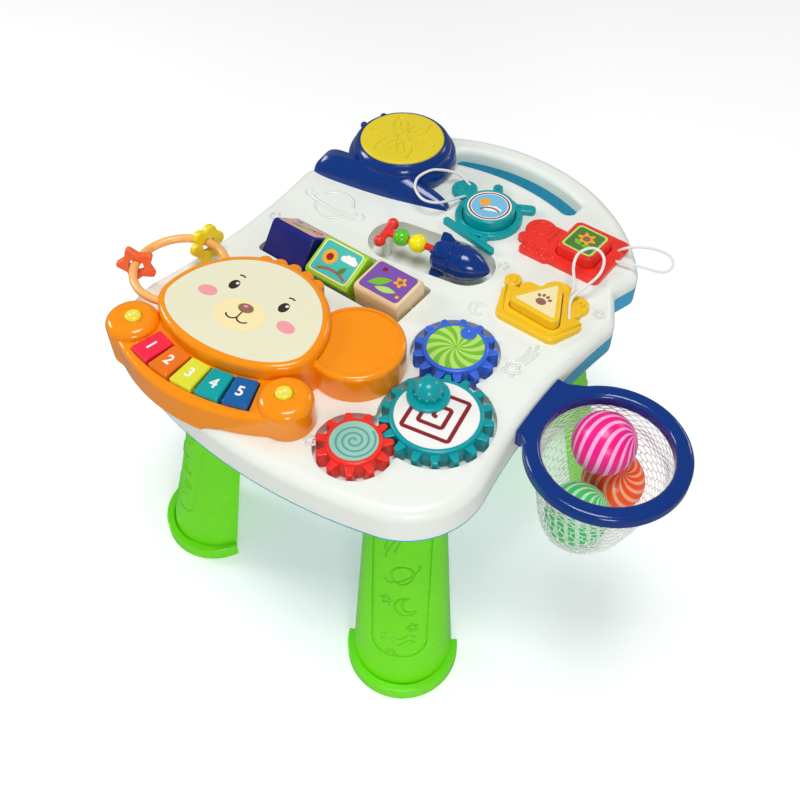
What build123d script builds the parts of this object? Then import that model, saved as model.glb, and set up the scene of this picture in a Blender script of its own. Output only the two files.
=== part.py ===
from build123d import *
from math import atan2, cos, degrees, hypot, pi, radians, sin, sqrt, tan
import os

# Activity walker for a toddler: a moulded deck on four splayed legs, with a small keyboard, three
# tumbling blocks, a rocket on a rod, three meshing wheels, a drum, three tethered shape pieces and a
# ball hoop at the side. Lengths are in millimetres. Heights are counted from the top of the deck and
# the whole is raised onto the floor at the end.

# Deck: a white upper shell over a blue lower shell, with a grab bar along the bowed back edge
deck_height = 345.0
deck_wall = 2.6
deck_edge = 12.0
base_wall = 2.6
base_edge = 3.0
front_y = -216.0
front_radius = 530.0
corner_x = 224.0
corner_round = 80.0
waist_x = 201.0
waist_y = -50.0
shoulder_x = 205.0
shoulder_y = 130.0
shoulder_round = 22.0
notch_x = 180.0
notch_y = 172.0
notch_round = 16.0
bow_x = 190.0
bow_round = 18.0
bow_center_y = 92.0
bow_radius = 221.0
split_front = 38.0
split_back = 18.0
split_reach = 60.0
bar_width = 27.0
grip_half = 83.0
grip_side_y = 240.0
grip_mid_y = 255.0
grip_round = 8.0
grip_edge = 7.0
pan_wall = 2.0
pan_gap = 1.2
pan_lip = 1.2
boss_radius = 5.0
boss_bore = 1.8

# Legs: half-round channels that lean outward, each with a flanged foot
leg_top_x = 116.0
leg_top_front = -96.5
leg_top_back = 141.5
leg_foot_x = 146.0
leg_foot_front = -145.0
leg_foot_back = 190.0
leg_turn = 59.0
leg_sweep = 98.0
leg_top_radius = 36.0
leg_foot_radius = 56.0
leg_wall = 3.4
foot_radius = 62.0
foot_height = 18.0
leg_cap = 3.0
panel_depth = 1.4
panel_width = 60.0
panel_round = 20.0
panel_top = 26.0
panel_bottom = 48.0

# Tumbling blocks on one axle
block_side = 46.0
block_length = 57.0
block_round = 6.0
block_spacing = 62.0
block_mid_x = -62.0
block_turns = (53.0, 24.0, 4.0)
axle_radius = 3.0
axle_y = 24.6
axle_z = -5.5
axle_play = 0.08
axle_seat = 3.0
trough_clearance = 1.2
trough_end = 3.5
trough_round = 6.0

# Rocket and beads on a rod over a round-ended slot
rocket_x = -3.0
rocket_y = 100.0
rocket_turn = 9.5
slot_length = 145.0
slot_width = 62.0
slot_depth = 24.0
rod_radius = 3.75
rod_z = 6.5
rod_play = 0.08
rod_end = 52.0
crossbar_u = -54.0
crossbar_length = 43.6
crossbar_radius = 4.6
crossbar_knob = 6.6
post_radius = 5.0
post_u = 40.0
post_length = 6.0
post_width = 5.0
bead_green_u = -35.6
bead_green_radius = 9.3
bead_yellow_u = -15.8
bead_yellow_radius = 10.2
rocket_tail_u = 5.0
rocket_length = 63.0
rocket_radius = 18.5
rocket_drop = 5.0
rocket_back = 4.0
rocket_forward = 2.5
fin_reach = 24.5
fin_length = 22.0
fin_thick = 3.0

# Meshing wheels in one well
gear_module = 5.74
teeth_teal = 17
teeth_red = 11
teeth_blue = 13
teal_x = 136.3
teal_y = -79.6
red_bearing = -120.6
blue_bearing = 114.1
tooth_rise = 4.4
tooth_fall = 5.0
tooth_part = 0.42
tooth_tip = 5.2
tooth_round = 1.8
tooth_top = 5.0
tooth_edge = 1.2
gear_top = 8.6
gear_edge = 2.0
disc_rim = 4.0
disc_sink = 0.5
gear_skin = 2.6
gear_hub = 8.0
well_clearance = 2.5
well_depth = 13.0
well_cusp = 3.0
seat_gap = 0.3
pin_radius = 4.0
pin_play = 0.08
knob_offset = 22.5
knob_bearing = 146.5
knob_flange = 20.5
knob_flange_thick = 3.4
knob_radius = 13.2
knob_top = 30.0
knob_ribs = 12
knob_rib = 1.5
knob_pin = 3.0
dimple_bearing = 90.0

# Keyboard unit, in its own frame at the middle of the head, turned a little
piano_x = -68.0
piano_y = -122.0
piano_turn = 5.0
shell_wall = 2.6
face_half_width = 82.0
face_upper = 80.0
face_lower = 43.0
face_thick = 1.6
face_fit = 0.2
head_rim = 7.0
head_draft = 3.5
head_top = 42.0
head_edge = 5.5
slab_top = 26.0
slab_edge = 5.0
slab_front = -97.0
slab_side = -68.0
slab_half = 100.0
slab_back = -20.0
lobe_x = 92.0
lobe_y = -48.0
lobe_radius = 26.0
lobe_top = 35.0
lobe_edge = 9.0
lobe_blend = 22.0
skirt_drop = 10.0
skirt_from = 6.0
ear_x = 34.5
ear_y = -70.5
ear_radius = 48.0
ear_top = 32.0
ear_edge = 4.5
ear_rim = 5.5
ear_sink = 1.5
scallop_radius = 8.0
scallop_top = 37.0
scallop_bearings = (68.0, 78.5, 89.0, 99.5, 110.0)
key_count = 5
key_fan = 200.0
key_row = 70.0
key_pitch = 26.7
key_fan_y = key_fan - key_row
key_step = degrees(key_pitch / key_fan)
key_length = 33.0
key_inner = 22.6
key_outer = 25.2
key_bottom = 16.0
key_top = 31.0
key_edge = 2.5
key_wall = 2.0
key_fit = 0.5
key_press = 2.0
button_y = -47.0
button_x = 90.0
button_radius = 8.2
button_fit = 0.35
button_top = 38.0
button_press = 2.0
button_flange = 10.5
ring_x = -173.0
ring_y = -97.5
ring_z = 26.0
ring_radius = 47.0
ring_tube = 4.4
bead_bore = 8.0
flower_bearing = 100.0
flower_radius = 17.0
flower_petal = 7.4
flower_thick = 8.0
star_bearing = 205.0
star_radius = 24.0
star_waist = 14.0
star_thick = 8.0
plate_thick = 2.0
board_z = 9.4
board_thick = 1.6
pad_thick = 1.2
pad_dome = 1.4
battery_radius = 7.2
battery_length = 50.0
battery_count = 3
speaker_radius = 22.0
speaker_height = 9.0
switch_length = 9.0
switch_travel = 4.0

# Drum with its curved visor
drum_x = -123.0
drum_y = 206.0
drum_base = 60.0
drum_belly = 62.5
drum_rim = 50.5
drum_height = 32.0
drum_wall = 2.6
drum_head_radius = 48.0
drum_head_fit = 0.4
drum_head_top = 34.0
drum_head_thick = 7.0
drum_press = 2.5
visor_turn = 12.0
visor_rows = (
    (-193.0, 130.0, 7.0, 6.0, 20.0),
    (-181.0, 129.0, 19.0, 12.0, 18.0),
    (-150.0, 132.5, 24.0, 17.0, 12.0),
    (-112.0, 139.5, 24.5, 18.0, 10.0),
    (-76.0, 149.0, 19.5, 17.0, 8.0),
    (-48.0, 158.0, 11.0, 12.0, 6.0),
    (-30.0, 165.0, 2.5, 5.0, 3.0),
)
horn_ball = 4.2
horn_bearings = (150.0, 178.0)
horn_z = 24.0

# Shape pieces, their picture plates and their pockets in the deck
plate_top = 6.5
plate_edge = 2.0
pocket_depth = 6.0
piece_fit = 0.6
piece_lift = 45.0
piece_edge = 2.2
piece_sink = 0.5
round_x = 13.7
round_y = 183.4
round_radius = 29.5
round_draft = 1.5
round_top = 17.5
round_face = 24.5
square_x = 126.0
square_y = 196.0
square_turn = -2.0
square_width = 46.0
square_depth = 48.0
square_corner = 9.0
square_top = 19.0
square_rim = 4.5
triangle_x = 137.0
triangle_y = 96.0
triangle_reach = 40.0
triangle_bearing = 87.0
triangle_corner = 8.0
triangle_top = 17.0
triangle_rim = 5.5
cord_radius = 1.5

# Ball hoop, bag and balls
hoop_x = 277.0
hoop_y = -9.0
hoop_inner = 61.0
hoop_outer = 77.0
hoop_top = -4.0
hoop_thick = 12.0
hoop_edge = 4.5
hoop_foot_edge = 1.5
bracket_back = 35.0
bracket_front = -44.0
bracket_drop = 22.0
bag_wall = 1.0
bag_lip = 3.2
ball_radius = 31.0
ball_green_at = (272.8, -37.55, -80.0)
ball_orange_at = (278.4, 23.7, -90.0)
ball_pink_at = (263.9, 13.6, -30.25)

# Sizes that follow from the ones above
block_reach = block_side / sqrt(2) - block_round * (sqrt(2) - 1)
trough_half_width = block_reach + trough_clearance
trough_half_length = block_spacing + block_length / 2 + trough_end
trough_depth = block_reach - axle_z + 0.7
deck_depth = trough_depth + pan_wall + pan_gap + base_wall
corner_y = front_y + front_radius - sqrt(front_radius**2 - corner_x**2)
bow_y = bow_center_y + sqrt(bow_radius**2 - bow_x**2)
bow_top = bow_center_y + bow_radius
grip_radius = bow_radius - bar_width

solids = {}


def nearest_rounded(face, corners):
    # rounds each named corner of a flat outline by its own radius
    for x, y, radius in corners:
        corner = face.vertices().sort_by_distance((x, y, 0))[0]
        face = fillet(corner, radius)
    return face


def slab_of(face, low, high):
    # upright prism of a flat outline between two heights
    return extrude(Pos(0, 0, low) * face, amount=high - low)


def top_edges(solid, outer=True):
    # edges round the highest flat face, outer loop or inner loops
    top = solid.faces().filter_by(Axis.Z).sort_by(Axis.Z)[-1]
    if outer:
        return top.outer_wire().edges()
    edges = []
    for wire in top.inner_wires():
        edges += list(wire.edges())
    return edges


def softened(face, low, high, radius):
    # prism whose upper edge is rounded
    block = slab_of(face, low, high)
    return fillet(top_edges(block), radius)


def capsule(x1, y1, x2, y2, width):
    # round-ended bar outline from one point to another
    length = hypot(x2 - x1, y2 - y1)
    turn = degrees(atan2(y2 - y1, x2 - x1))
    return Pos((x1 + x2) / 2, (y1 + y2) / 2) * Rot(0, 0, turn) * SlotCenterToCenter(length, width)


def disc(x, y, radius):
    return Pos(x, y) * Circle(radius)


# Deck outline, seen from above and drawn in by an inset
def deck_plan(inset):
    edges = [
        ThreePointArc((-corner_x, corner_y), (0, front_y), (corner_x, corner_y)),
        ThreePointArc((corner_x, corner_y), (waist_x, waist_y), (shoulder_x, shoulder_y)),
        Line((shoulder_x, shoulder_y), (notch_x, notch_y)),
        Line((notch_x, notch_y), (bow_x, bow_y)),
        ThreePointArc((bow_x, bow_y), (0, bow_top), (-bow_x, bow_y)),
        Line((-bow_x, bow_y), (-notch_x, notch_y)),
        Line((-notch_x, notch_y), (-shoulder_x, shoulder_y)),
        ThreePointArc((-shoulder_x, shoulder_y), (-waist_x, waist_y), (-corner_x, corner_y)),
    ]
    face = make_face(edges)
    if inset:
        face = offset(face, -inset, kind=Kind.INTERSECTION)
    corners = []
    for side in (1, -1):
        corners.append((side * corner_x, corner_y, corner_round - inset))
        corners.append((side * shoulder_x, shoulder_y, shoulder_round - inset))
        corners.append((side * notch_x, notch_y, notch_round + inset))
        corners.append((side * bow_x, bow_y, bow_round - inset))
    return nearest_rounded(face, corners)


def grip_plan(grow):
    # hand slot between the deck and the grab bar, both of its long sides are arcs
    rise = grip_mid_y - grip_side_y
    side_radius = (grip_half**2 + rise**2) / (2 * rise)
    side_y = grip_mid_y - side_radius
    inner = side_radius - grow
    outer = grip_radius + grow
    half = grip_half + grow
    low_y = side_y + sqrt(inner**2 - half**2)
    high_y = bow_center_y + sqrt(outer**2 - half**2)
    face = make_face([
        ThreePointArc((-half, low_y), (0, side_y + inner), (half, low_y)),
        Line((half, low_y), (half, high_y)),
        ThreePointArc((half, high_y), (0, bow_center_y + outer), (-half, high_y)),
        Line((-half, high_y), (-half, low_y)),
    ])
    corners = []
    for side in (1, -1):
        corners.append((side * half, low_y, grip_round + grow))
        corners.append((side * half, high_y, grip_round + grow))
    return nearest_rounded(face, corners)


def deck_form(inset, low, high, edge, inner_edge):
    # deck shape drawn in by the inset, hand slot grown by it, upper edges rounded
    block = slab_of(deck_plan(inset), low, high) - slab_of(grip_plan(inset), low - 1, high + 1)
    block = fillet(top_edges(block), edge)
    return fillet(top_edges(block, outer=False), inner_edge)


def below_split():
    # everything under the wavy joint line between the two shells
    edges = [
        Line((-400, -90), (-400, -split_front)),
        Line((-400, -split_front), (-split_reach, -split_front)),
        Bezier((-split_reach, -split_front), (0, -split_front), (0, -split_back), (split_reach, -split_back)),
        Line((split_reach, -split_back), (400, -split_back)),
        Line((400, -split_back), (400, -90)),
        Line((400, -90), (-400, -90)),
    ]
    return extrude(Plane.YZ * make_face(edges), amount=300, both=True)


# Wheels: where they sit and how their teeth fall
def gear_radius(teeth):
    return gear_module * teeth / 2


def from_teal(bearing, teeth):
    span = gear_radius(teeth_teal) + gear_radius(teeth)
    return teal_x + span * cos(radians(bearing)), teal_y + span * sin(radians(bearing))


red_x, red_y = from_teal(red_bearing, teeth_red)
blue_x, blue_y = from_teal(blue_bearing, teeth_blue)
teal_phase = blue_bearing


def mesh_phase(bearing, teeth):
    # bearing of one tooth so that it falls midway between two teeth of the teal wheel
    share = ((bearing - teal_phase) * teeth_teal / 360) % 1
    return bearing + 180 - (0.5 - share) * 360 / teeth


wheels = {
    "gear_teal": (teal_x, teal_y, teeth_teal, teal_phase),
    "gear_red": (red_x, red_y, teeth_red, mesh_phase(red_bearing, teeth_red)),
    "gear_blue": (blue_x, blue_y, teeth_blue, mesh_phase(blue_bearing, teeth_blue)),
}


def well_plan(grow):
    # one pocket for the three wheels, its inward points rounded
    well = Sketch()
    for x, y, teeth, phase in wheels.values():
        well += disc(x, y, gear_radius(teeth) + tooth_rise + well_clearance + grow)
    return fillet(well.vertices(), well_cusp)


def gear_form(teeth, phase):
    # wheel about its own axis, moulded hollow from below round a closed hub
    pitch = gear_radius(teeth)
    root = pitch - tooth_fall
    tip = pitch + tooth_rise
    low = -well_depth + seat_gap
    width = tooth_part * pi * gear_module
    foot = width * 1.3
    tooth = Polygon(
        (root - 3, -foot / 2), (pitch, -width / 2), (tip, -tooth_tip / 2),
        (tip, tooth_tip / 2), (pitch, width / 2), (root - 3, foot / 2), align=None)
    ends = tooth.vertices().sort_by(Axis.X)[-2:]
    tooth = fillet(ends, tooth_round)
    solid = slab_of(tooth, low, tooth_top)
    tips = [edge for edge in top_edges(solid) if edge.center().X > pitch]
    solid = fillet(tips, tooth_edge)
    body = softened(Circle(root), low, gear_top, gear_edge)
    for index in range(teeth):
        body += Rot(0, 0, phase + index * 360 / teeth) * solid
    body -= slab_of(Circle(root - disc_rim), gear_top - disc_sink, gear_top + 1)
    hollow = Circle(root - gear_skin - 1) - Circle(gear_hub)
    body -= slab_of(hollow, low - 1, gear_top - disc_sink - gear_skin)
    bore = pin_radius + pin_play
    return body - slab_of(Circle(bore), low - 1, gear_top - disc_sink - gear_skin)


def rounded_box(width, depth, corner):
    return RectangleRounded(width, depth, corner)


# Shape pieces: flat outlines that also cut their pockets and plates
def round_outline(grow):
    return disc(round_x, round_y, round_radius + grow)


def square_outline(grow):
    shape = rounded_box(square_width + 2 * grow, square_depth + 2 * grow, square_corner + grow)
    return Pos(square_x, square_y) * Rot(0, 0, square_turn) * shape


def triangle_outline(grow):
    # each side lies half the reach from the middle
    shape = RegularPolygon(triangle_reach + 2 * grow, 3)
    shape = fillet(shape.vertices(), triangle_corner + grow)
    return Pos(triangle_x, triangle_y) * Rot(0, 0, triangle_bearing) * shape


slot_frame = Pos(rocket_x, rocket_y, 0) * Rot(0, 0, rocket_turn)


def trough_plan(grow):
    width = 2 * (trough_half_length + grow)
    shape = rounded_box(width, 2 * (trough_half_width + grow), trough_round + grow)
    return Pos(block_mid_x, axle_y) * shape


def slot_plan(grow):
    return slot_frame * SlotOverall(slot_length + 2 * grow, slot_width + 2 * grow)


pans = [
    (trough_plan, 0, trough_depth),
    (slot_plan, 0, slot_depth),
    (well_plan, 0, well_depth),
    (round_outline, piece_fit, pocket_depth),
    (square_outline, piece_fit, pocket_depth),
    (triangle_outline, piece_fit, pocket_depth),
]
boss_places = ((168, -152), (-168, -152), (0, -196), (188, 62), (-186, 92), (62, 224), (-62, 224))

# Upper deck shell with its sunk pans and screw bosses
deck_block = deck_form(0, -split_front, 0, deck_edge, grip_edge)
deck_cavity = deck_form(deck_wall, -split_front - 1, -deck_wall, deck_edge - deck_wall, grip_edge - deck_wall)
under = below_split()
deck_top = deck_block - deck_cavity - under
floor_z = -deck_depth + base_wall
for x, y in boss_places:
    deck_top += slab_of(disc(x, y, boss_radius), floor_z, -deck_wall / 2)
for plan, fit, depth in pans:
    deck_top += slab_of(plan(fit + pan_wall), -depth - pan_wall, -deck_wall / 2)
for plan, fit, depth in pans:
    deck_top -= slab_of(plan(fit), -depth, 1)
for x, y in boss_places:
    deck_top -= slab_of(disc(x, y, boss_bore), floor_z - 1, -deck_wall - 2)
axle_half = trough_half_length + axle_seat
axle = Pos(block_mid_x, axle_y, axle_z) * Rot(0, 90, 0) * Cylinder(axle_radius, 2 * axle_half)
seat_half = axle_half + 0.2
axle_hole = Pos(block_mid_x, axle_y, axle_z) * Rot(0, 90, 0) * Cylinder(axle_radius + axle_play, 2 * seat_half)
seats = []
for side in (1, -1):
    seat_x = block_mid_x + side * (trough_half_length + (axle_seat + 1.4) / 2)
    seat = Pos(seat_x, axle_y, axle_z - 4) * Box(axle_seat + 1.4, 16, 18)
    seats.append(seat & Pos(0, 0, -20 - deck_wall / 2) * Box(900, 900, 40))
for seat in seats:
    deck_top += seat
deck_top -= axle_hole
solids["deck_top"] = deck_top
solids["block_axle"] = axle

# Lower deck shell, up to the wavy joint line
base_block = slab_of(deck_plan(0), -deck_depth, 0)
bottom = base_block.faces().sort_by(Axis.Z)[0]
base_block = fillet(bottom.edges(), base_edge)
base_inner = slab_of(deck_plan(base_wall), floor_z, 1)
grip_hole = slab_of(grip_plan(0), -deck_depth - 1, 1)
grip_sleeve = slab_of(grip_plan(base_wall), -deck_depth, 1)
deck_base = (base_block - (base_inner - grip_sleeve) - grip_hole) & under
for x, y in boss_places:
    deck_base -= slab_of(disc(x, y, boss_bore), -deck_depth - 1, 1)
solids["deck_base"] = deck_base


# Legs
def channel(radius, thick, sweep):
    # half-round channel section, open toward -X
    start = Vector(radius * cos(radians(-sweep)), radius * sin(radians(-sweep)))
    inner = radius - thick
    begin = Vector(inner * cos(radians(-sweep)), inner * sin(radians(-sweep)))
    edges = [
        CenterArc((0, 0), radius, -sweep, 2 * sweep),
        CenterArc((0, 0), inner, -sweep, 2 * sweep),
        Line(start, begin),
        Line((start.X, -start.Y), (begin.X, -begin.Y)),
    ]
    return make_face(edges)


def leg_form(top, foot, turn):
    # top and foot are the channel centres under the deck and at the floor
    height = deck_height - deck_depth
    low = -deck_height
    high = -deck_depth
    lean_x = (top[0] - foot[0]) / height
    lean_y = (top[1] - foot[1]) / height
    grow = (leg_foot_radius - leg_top_radius) / height

    def at(z, section):
        rise = z - low
        place = Pos(foot[0] + lean_x * rise, foot[1] + lean_y * rise, z)
        return place * Rot(0, 0, turn) * section

    def radius_at(z):
        return leg_top_radius + grow * (high - z)

    def skin(extra, thick):
        lower = at(low, channel(radius_at(low) + extra, thick, leg_sweep))
        upper = at(high, channel(radius_at(high) + extra, thick, leg_sweep))
        return loft([lower, upper], ruled=True)

    leg = skin(0, leg_wall)
    shell = skin(2, panel_depth + 2)
    mid = (high - panel_top + low + panel_bottom) / 2
    length = (high - panel_top) - (low + panel_bottom)
    window = Plane.YZ * RectangleRounded(panel_width, length, panel_round)
    window = extrude(window, amount=150)
    tilt_out = degrees(atan2(-(lean_x * cos(radians(turn)) + lean_y * sin(radians(turn))), 1))
    window = at(mid, Rot(0, -tilt_out, 0) * window)
    leg -= shell & window
    foot_face = channel(foot_radius, foot_radius - leg_foot_radius + leg_wall, leg_sweep)
    foot_ring = softened(foot_face, low, low + foot_height, 2.0)
    leg += Pos(foot[0], foot[1], 0) * Rot(0, 0, turn) * foot_ring
    cap_arc = CenterArc((0, 0), leg_top_radius - leg_wall / 2, -leg_sweep, 2 * leg_sweep)
    cap_line = Line(cap_arc @ 0, cap_arc @ 1)
    cap = make_face([cap_arc, cap_line])
    plate = slab_of(cap, high - leg_cap, high)
    for side in (1, -1):
        plate -= slab_of(disc(12, side * 16, 2.2), high - leg_cap - 1, high + 1)
    leg += Pos(top[0], top[1], 0) * Rot(0, 0, turn) * plate
    return leg


front_top = (leg_top_x, leg_top_front)
front_foot = (leg_foot_x, leg_foot_front)
back_top = (leg_top_x, leg_top_back)
back_foot = (leg_foot_x, leg_foot_back)
solids["leg_front_right"] = leg_form(front_top, front_foot, -leg_turn)
solids["leg_front_left"] = mirror(solids["leg_front_right"], about=Plane.YZ)
solids["leg_back_right"] = leg_form(back_top, back_foot, leg_turn)
solids["leg_back_left"] = mirror(solids["leg_back_right"], about=Plane.YZ)

# Blocks: square bars with rounded corners, turned about the axle
block_names = ("block_blue", "block_green", "block_cream")
for index, name in enumerate(block_names):
    section = rounded_box(block_side, block_side, block_round)
    block = extrude(section, amount=block_length / 2, both=True)
    ends = block.faces().filter_by(Axis.Z)
    block = fillet(ends[0].edges() + ends[1].edges(), 2.0)
    block -= Cylinder(axle_radius + axle_play, block_length + 2)
    x = block_mid_x + (index - 1) * block_spacing
    solids[name] = Pos(x, axle_y, axle_z) * Rot(block_turns[index], 0, 0) * Rot(0, 90, 0) * block

# Rod, crossbar, beads and rocket
rod_axis = slot_frame * Pos(0, 0, rod_z) * Rot(0, 90, 0)
rod = Pos(0, 0, (crossbar_u + rod_end) / 2) * Cylinder(rod_radius, rod_end - crossbar_u)
rod = rod_axis * rod
bar = Pos(crossbar_u, 0, rod_z) * Rot(90, 0, 0) * Cylinder(crossbar_radius, crossbar_length - 2 * crossbar_knob)
for side in (1, -1):
    v = side * (crossbar_length / 2 - crossbar_knob)
    bar += Pos(crossbar_u, v, rod_z) * Sphere(crossbar_knob)
solids["rocket_rod"] = rod + slot_frame * bar
stand = Pos(post_u, 0) * rounded_box(post_length, post_width, 1.2)
stand = slab_of(stand, -slot_depth - 0.5, rod_z) + slab_of(disc(crossbar_u, 0, post_radius), -slot_depth - 0.5, rod_z)
solids["deck_top"] += slot_frame * stand - solids["rocket_rod"]


def bead(u, radius):
    ball = Sphere(radius) - Cylinder(rod_radius + rod_play, 3 * radius)
    ball = ball & Cylinder(radius, 2 * radius - 1.2)
    return rod_axis * Pos(0, 0, u) * ball


solids["bead_green"] = bead(bead_green_u, bead_green_radius)
solids["bead_yellow"] = bead(bead_yellow_u, bead_yellow_radius)

nose_u = rocket_tail_u + rocket_length
rocket_line = Polyline(
    (rocket_tail_u, 0), (rocket_tail_u, rocket_radius * 0.74), (rocket_tail_u + 5, rocket_radius * 0.94))
rocket_side = Line(rocket_line @ 1, (rocket_tail_u + rocket_length * 0.55, rocket_radius))
rocket_nose = ThreePointArc(
    rocket_side @ 1, (rocket_tail_u + rocket_length * 0.82, rocket_radius * 0.66), (nose_u, 2.0))
rocket_tip = Line((nose_u, 2.0), (nose_u, 0))
rocket_core = Line((nose_u, 0), (rocket_tail_u, 0))
rocket_face = make_face([rocket_line, rocket_side, rocket_nose, rocket_tip, rocket_core])
rocket = revolve(rocket_face, axis=Axis.X)
fin = Polygon(
    (rocket_tail_u + 1, 0), (rocket_tail_u + 1, fin_reach), (rocket_tail_u + fin_length * 0.4, fin_reach),
    (rocket_tail_u + fin_length, rocket_radius - 2), (rocket_tail_u + fin_length, 0), align=None)
fin = fillet(fin.vertices().sort_by(Axis.Y)[-2:], 2.5)
fin = extrude(fin, amount=fin_thick / 2, both=True)
for index in range(4):
    rocket += Rot(45 + 90 * index, 0, 0) * fin
for share in (0.32, 0.5):
    band_u = rocket_tail_u + rocket_length * share
    band_radius = rocket_radius * 1.035
    rocket += Pos(band_u, 0, 0) * Rot(0, 90, 0) * Cylinder(band_radius, 2.4)
bore_length = nose_u - 11 - rocket_tail_u
rocket_bore = Pos(rocket_tail_u + bore_length / 2 - 1, 0, rocket_drop) * Rot(0, 90, 0)
rocket -= rocket_bore * Cylinder(rod_radius + rod_play, bore_length + 2)
gate_low = post_u - post_length / 2 - rocket_forward - 1
gate_high = post_u + post_length / 2 + rocket_back + 1
gate_tall = fin_reach + rocket_drop
gate = Box(gate_high - gate_low, post_width + 3, gate_tall)
rocket -= Pos((gate_low + gate_high) / 2, 0, rocket_drop - gate_tall / 2) * gate
solids["rocket"] = slot_frame * Pos(0, 0, rod_z - rocket_drop) * rocket

# Wheels, their pins and the turning knob
pins = Sketch()
gear_low = -well_depth + seat_gap
bore_top = gear_top - disc_sink - gear_skin
for name, (x, y, teeth, phase) in wheels.items():
    solids[name] = Pos(x, y, 0) * gear_form(teeth, phase)
    pins += disc(x, y, pin_radius)
solids["gear_pins"] = slab_of(pins, -well_depth, bore_top - seat_gap)
knob_x = teal_x + knob_offset * cos(radians(knob_bearing))
knob_y = teal_y + knob_offset * sin(radians(knob_bearing))
knob_base = gear_top + seat_gap
knob_pin_top = knob_top - 12
solids["gear_teal"] += slab_of(disc(knob_x, knob_y, knob_pin + 3), bore_top, gear_top)
solids["gear_teal"] += slab_of(disc(knob_x, knob_y, knob_pin), bore_top, knob_pin_top)
dome = softened(Circle(knob_radius), knob_base, knob_top, knob_radius - 0.8)
for index in range(knob_ribs):
    angle = 360 * index / knob_ribs
    rib = Pos(knob_radius, 0) * Circle(knob_rib)
    dome += Rot(0, 0, angle) * softened(rib, knob_base, knob_top - knob_radius + 2, knob_rib - 0.2)
knob = softened(Circle(knob_flange), knob_base, knob_base + knob_flange_thick, 1.5) + dome
knob -= slab_of(Circle(knob_pin + pin_play), knob_base - 1, knob_pin_top + seat_gap)
solids["gear_knob"] = Pos(knob_x, knob_y, 0) * knob
dimple_at = gear_radius(teeth_blue) - tooth_fall - disc_rim - 6.5
dimple_x = blue_x + dimple_at * cos(radians(dimple_bearing))
dimple_y = blue_y + dimple_at * sin(radians(dimple_bearing))
boss = softened(disc(dimple_x, dimple_y, 8.0), bore_top, gear_top + 1.2, 1.0)
dimple = Pos(dimple_x, dimple_y, gear_top + 5.9) * Sphere(6.0)
solids["gear_blue"] = solids["gear_blue"] + boss - dimple

# Keyboard unit
piano_frame = Pos(piano_x, piano_y, 0) * Rot(0, 0, piano_turn)


def egg(grow):
    half = face_half_width + grow
    upper = EllipticalCenterArc((0, 0), half, face_upper + grow, 0, arc_size=180)
    lower = EllipticalCenterArc((0, 0), half, face_lower + grow, 180, arc_size=180)
    return make_face([upper, lower])


def slab_plan(inset):
    edges = [
        ThreePointArc((-slab_half, slab_side), (0, slab_front), (slab_half, slab_side)),
        Line((slab_half, slab_side), (slab_half, slab_back)),
        Line((slab_half, slab_back), (-slab_half, slab_back)),
        Line((-slab_half, slab_back), (-slab_half, slab_side)),
    ]
    shape = make_face(edges)
    if inset:
        shape = offset(shape, -inset, kind=Kind.INTERSECTION)
    for side in (1, -1):
        shape += disc(side * lobe_x, lobe_y, lobe_radius - inset)
    front = [v for v in shape.vertices() if v.Y < lobe_y - 5]
    return fillet(front, lobe_blend + inset)


ear_at = (Rot(0, 0, -piano_turn) * Pos(ear_x - piano_x, ear_y - piano_y, 0)).position
lower_egg = egg(head_rim + head_draft)
upper_egg = Pos(0, 0, head_top) * egg(head_rim)
head = loft([lower_egg, upper_egg], ruled=True)
head = fillet(top_edges(head), head_edge)
for bearing in scallop_bearings:
    sx = (face_half_width + head_rim) * cos(radians(bearing))
    sy = (face_upper + head_rim) * sin(radians(bearing))
    head += softened(disc(sx, sy, scallop_radius), 0, scallop_top, 3.0)
shell = softened(slab_plan(0), 0, slab_top, slab_edge)
for side in (1, -1):
    shell += softened(disc(side * lobe_x, lobe_y, lobe_radius), 0, lobe_top, lobe_edge)
shell += softened(disc(ear_at.X, ear_at.Y, ear_radius), 0, ear_top, ear_edge)
piano_solid = head + shell


def inner_plan(gap):
    # floor plan of the hollow, drawn in by the wall and a gap
    plan = egg(head_rim - shell_wall - gap) + slab_plan(shell_wall + gap)
    return plan + disc(ear_at.X, ear_at.Y, ear_radius - shell_wall - gap)


face_low = head_top - face_thick - face_fit
piano = piano_solid - slab_of(egg(head_rim - shell_wall), -1, face_low - shell_wall)
piano -= slab_of(slab_plan(shell_wall), -1, slab_top - shell_wall)
piano -= slab_of(disc(ear_at.X, ear_at.Y, ear_radius - shell_wall), -1, ear_top - ear_sink - shell_wall)
piano -= slab_of(disc(ear_at.X, ear_at.Y, ear_radius - ear_rim), ear_top - ear_sink, ear_top + 1)
piano -= slab_of(egg(face_fit), face_low, head_top + 1)


def key_outline(grow):
    half = key_length / 2 + grow
    inner = key_inner / 2 + grow
    outer = key_outer / 2 + grow
    return Polygon((-outer, -half), (outer, -half), (inner, half), (-inner, half), align=None)


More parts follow.
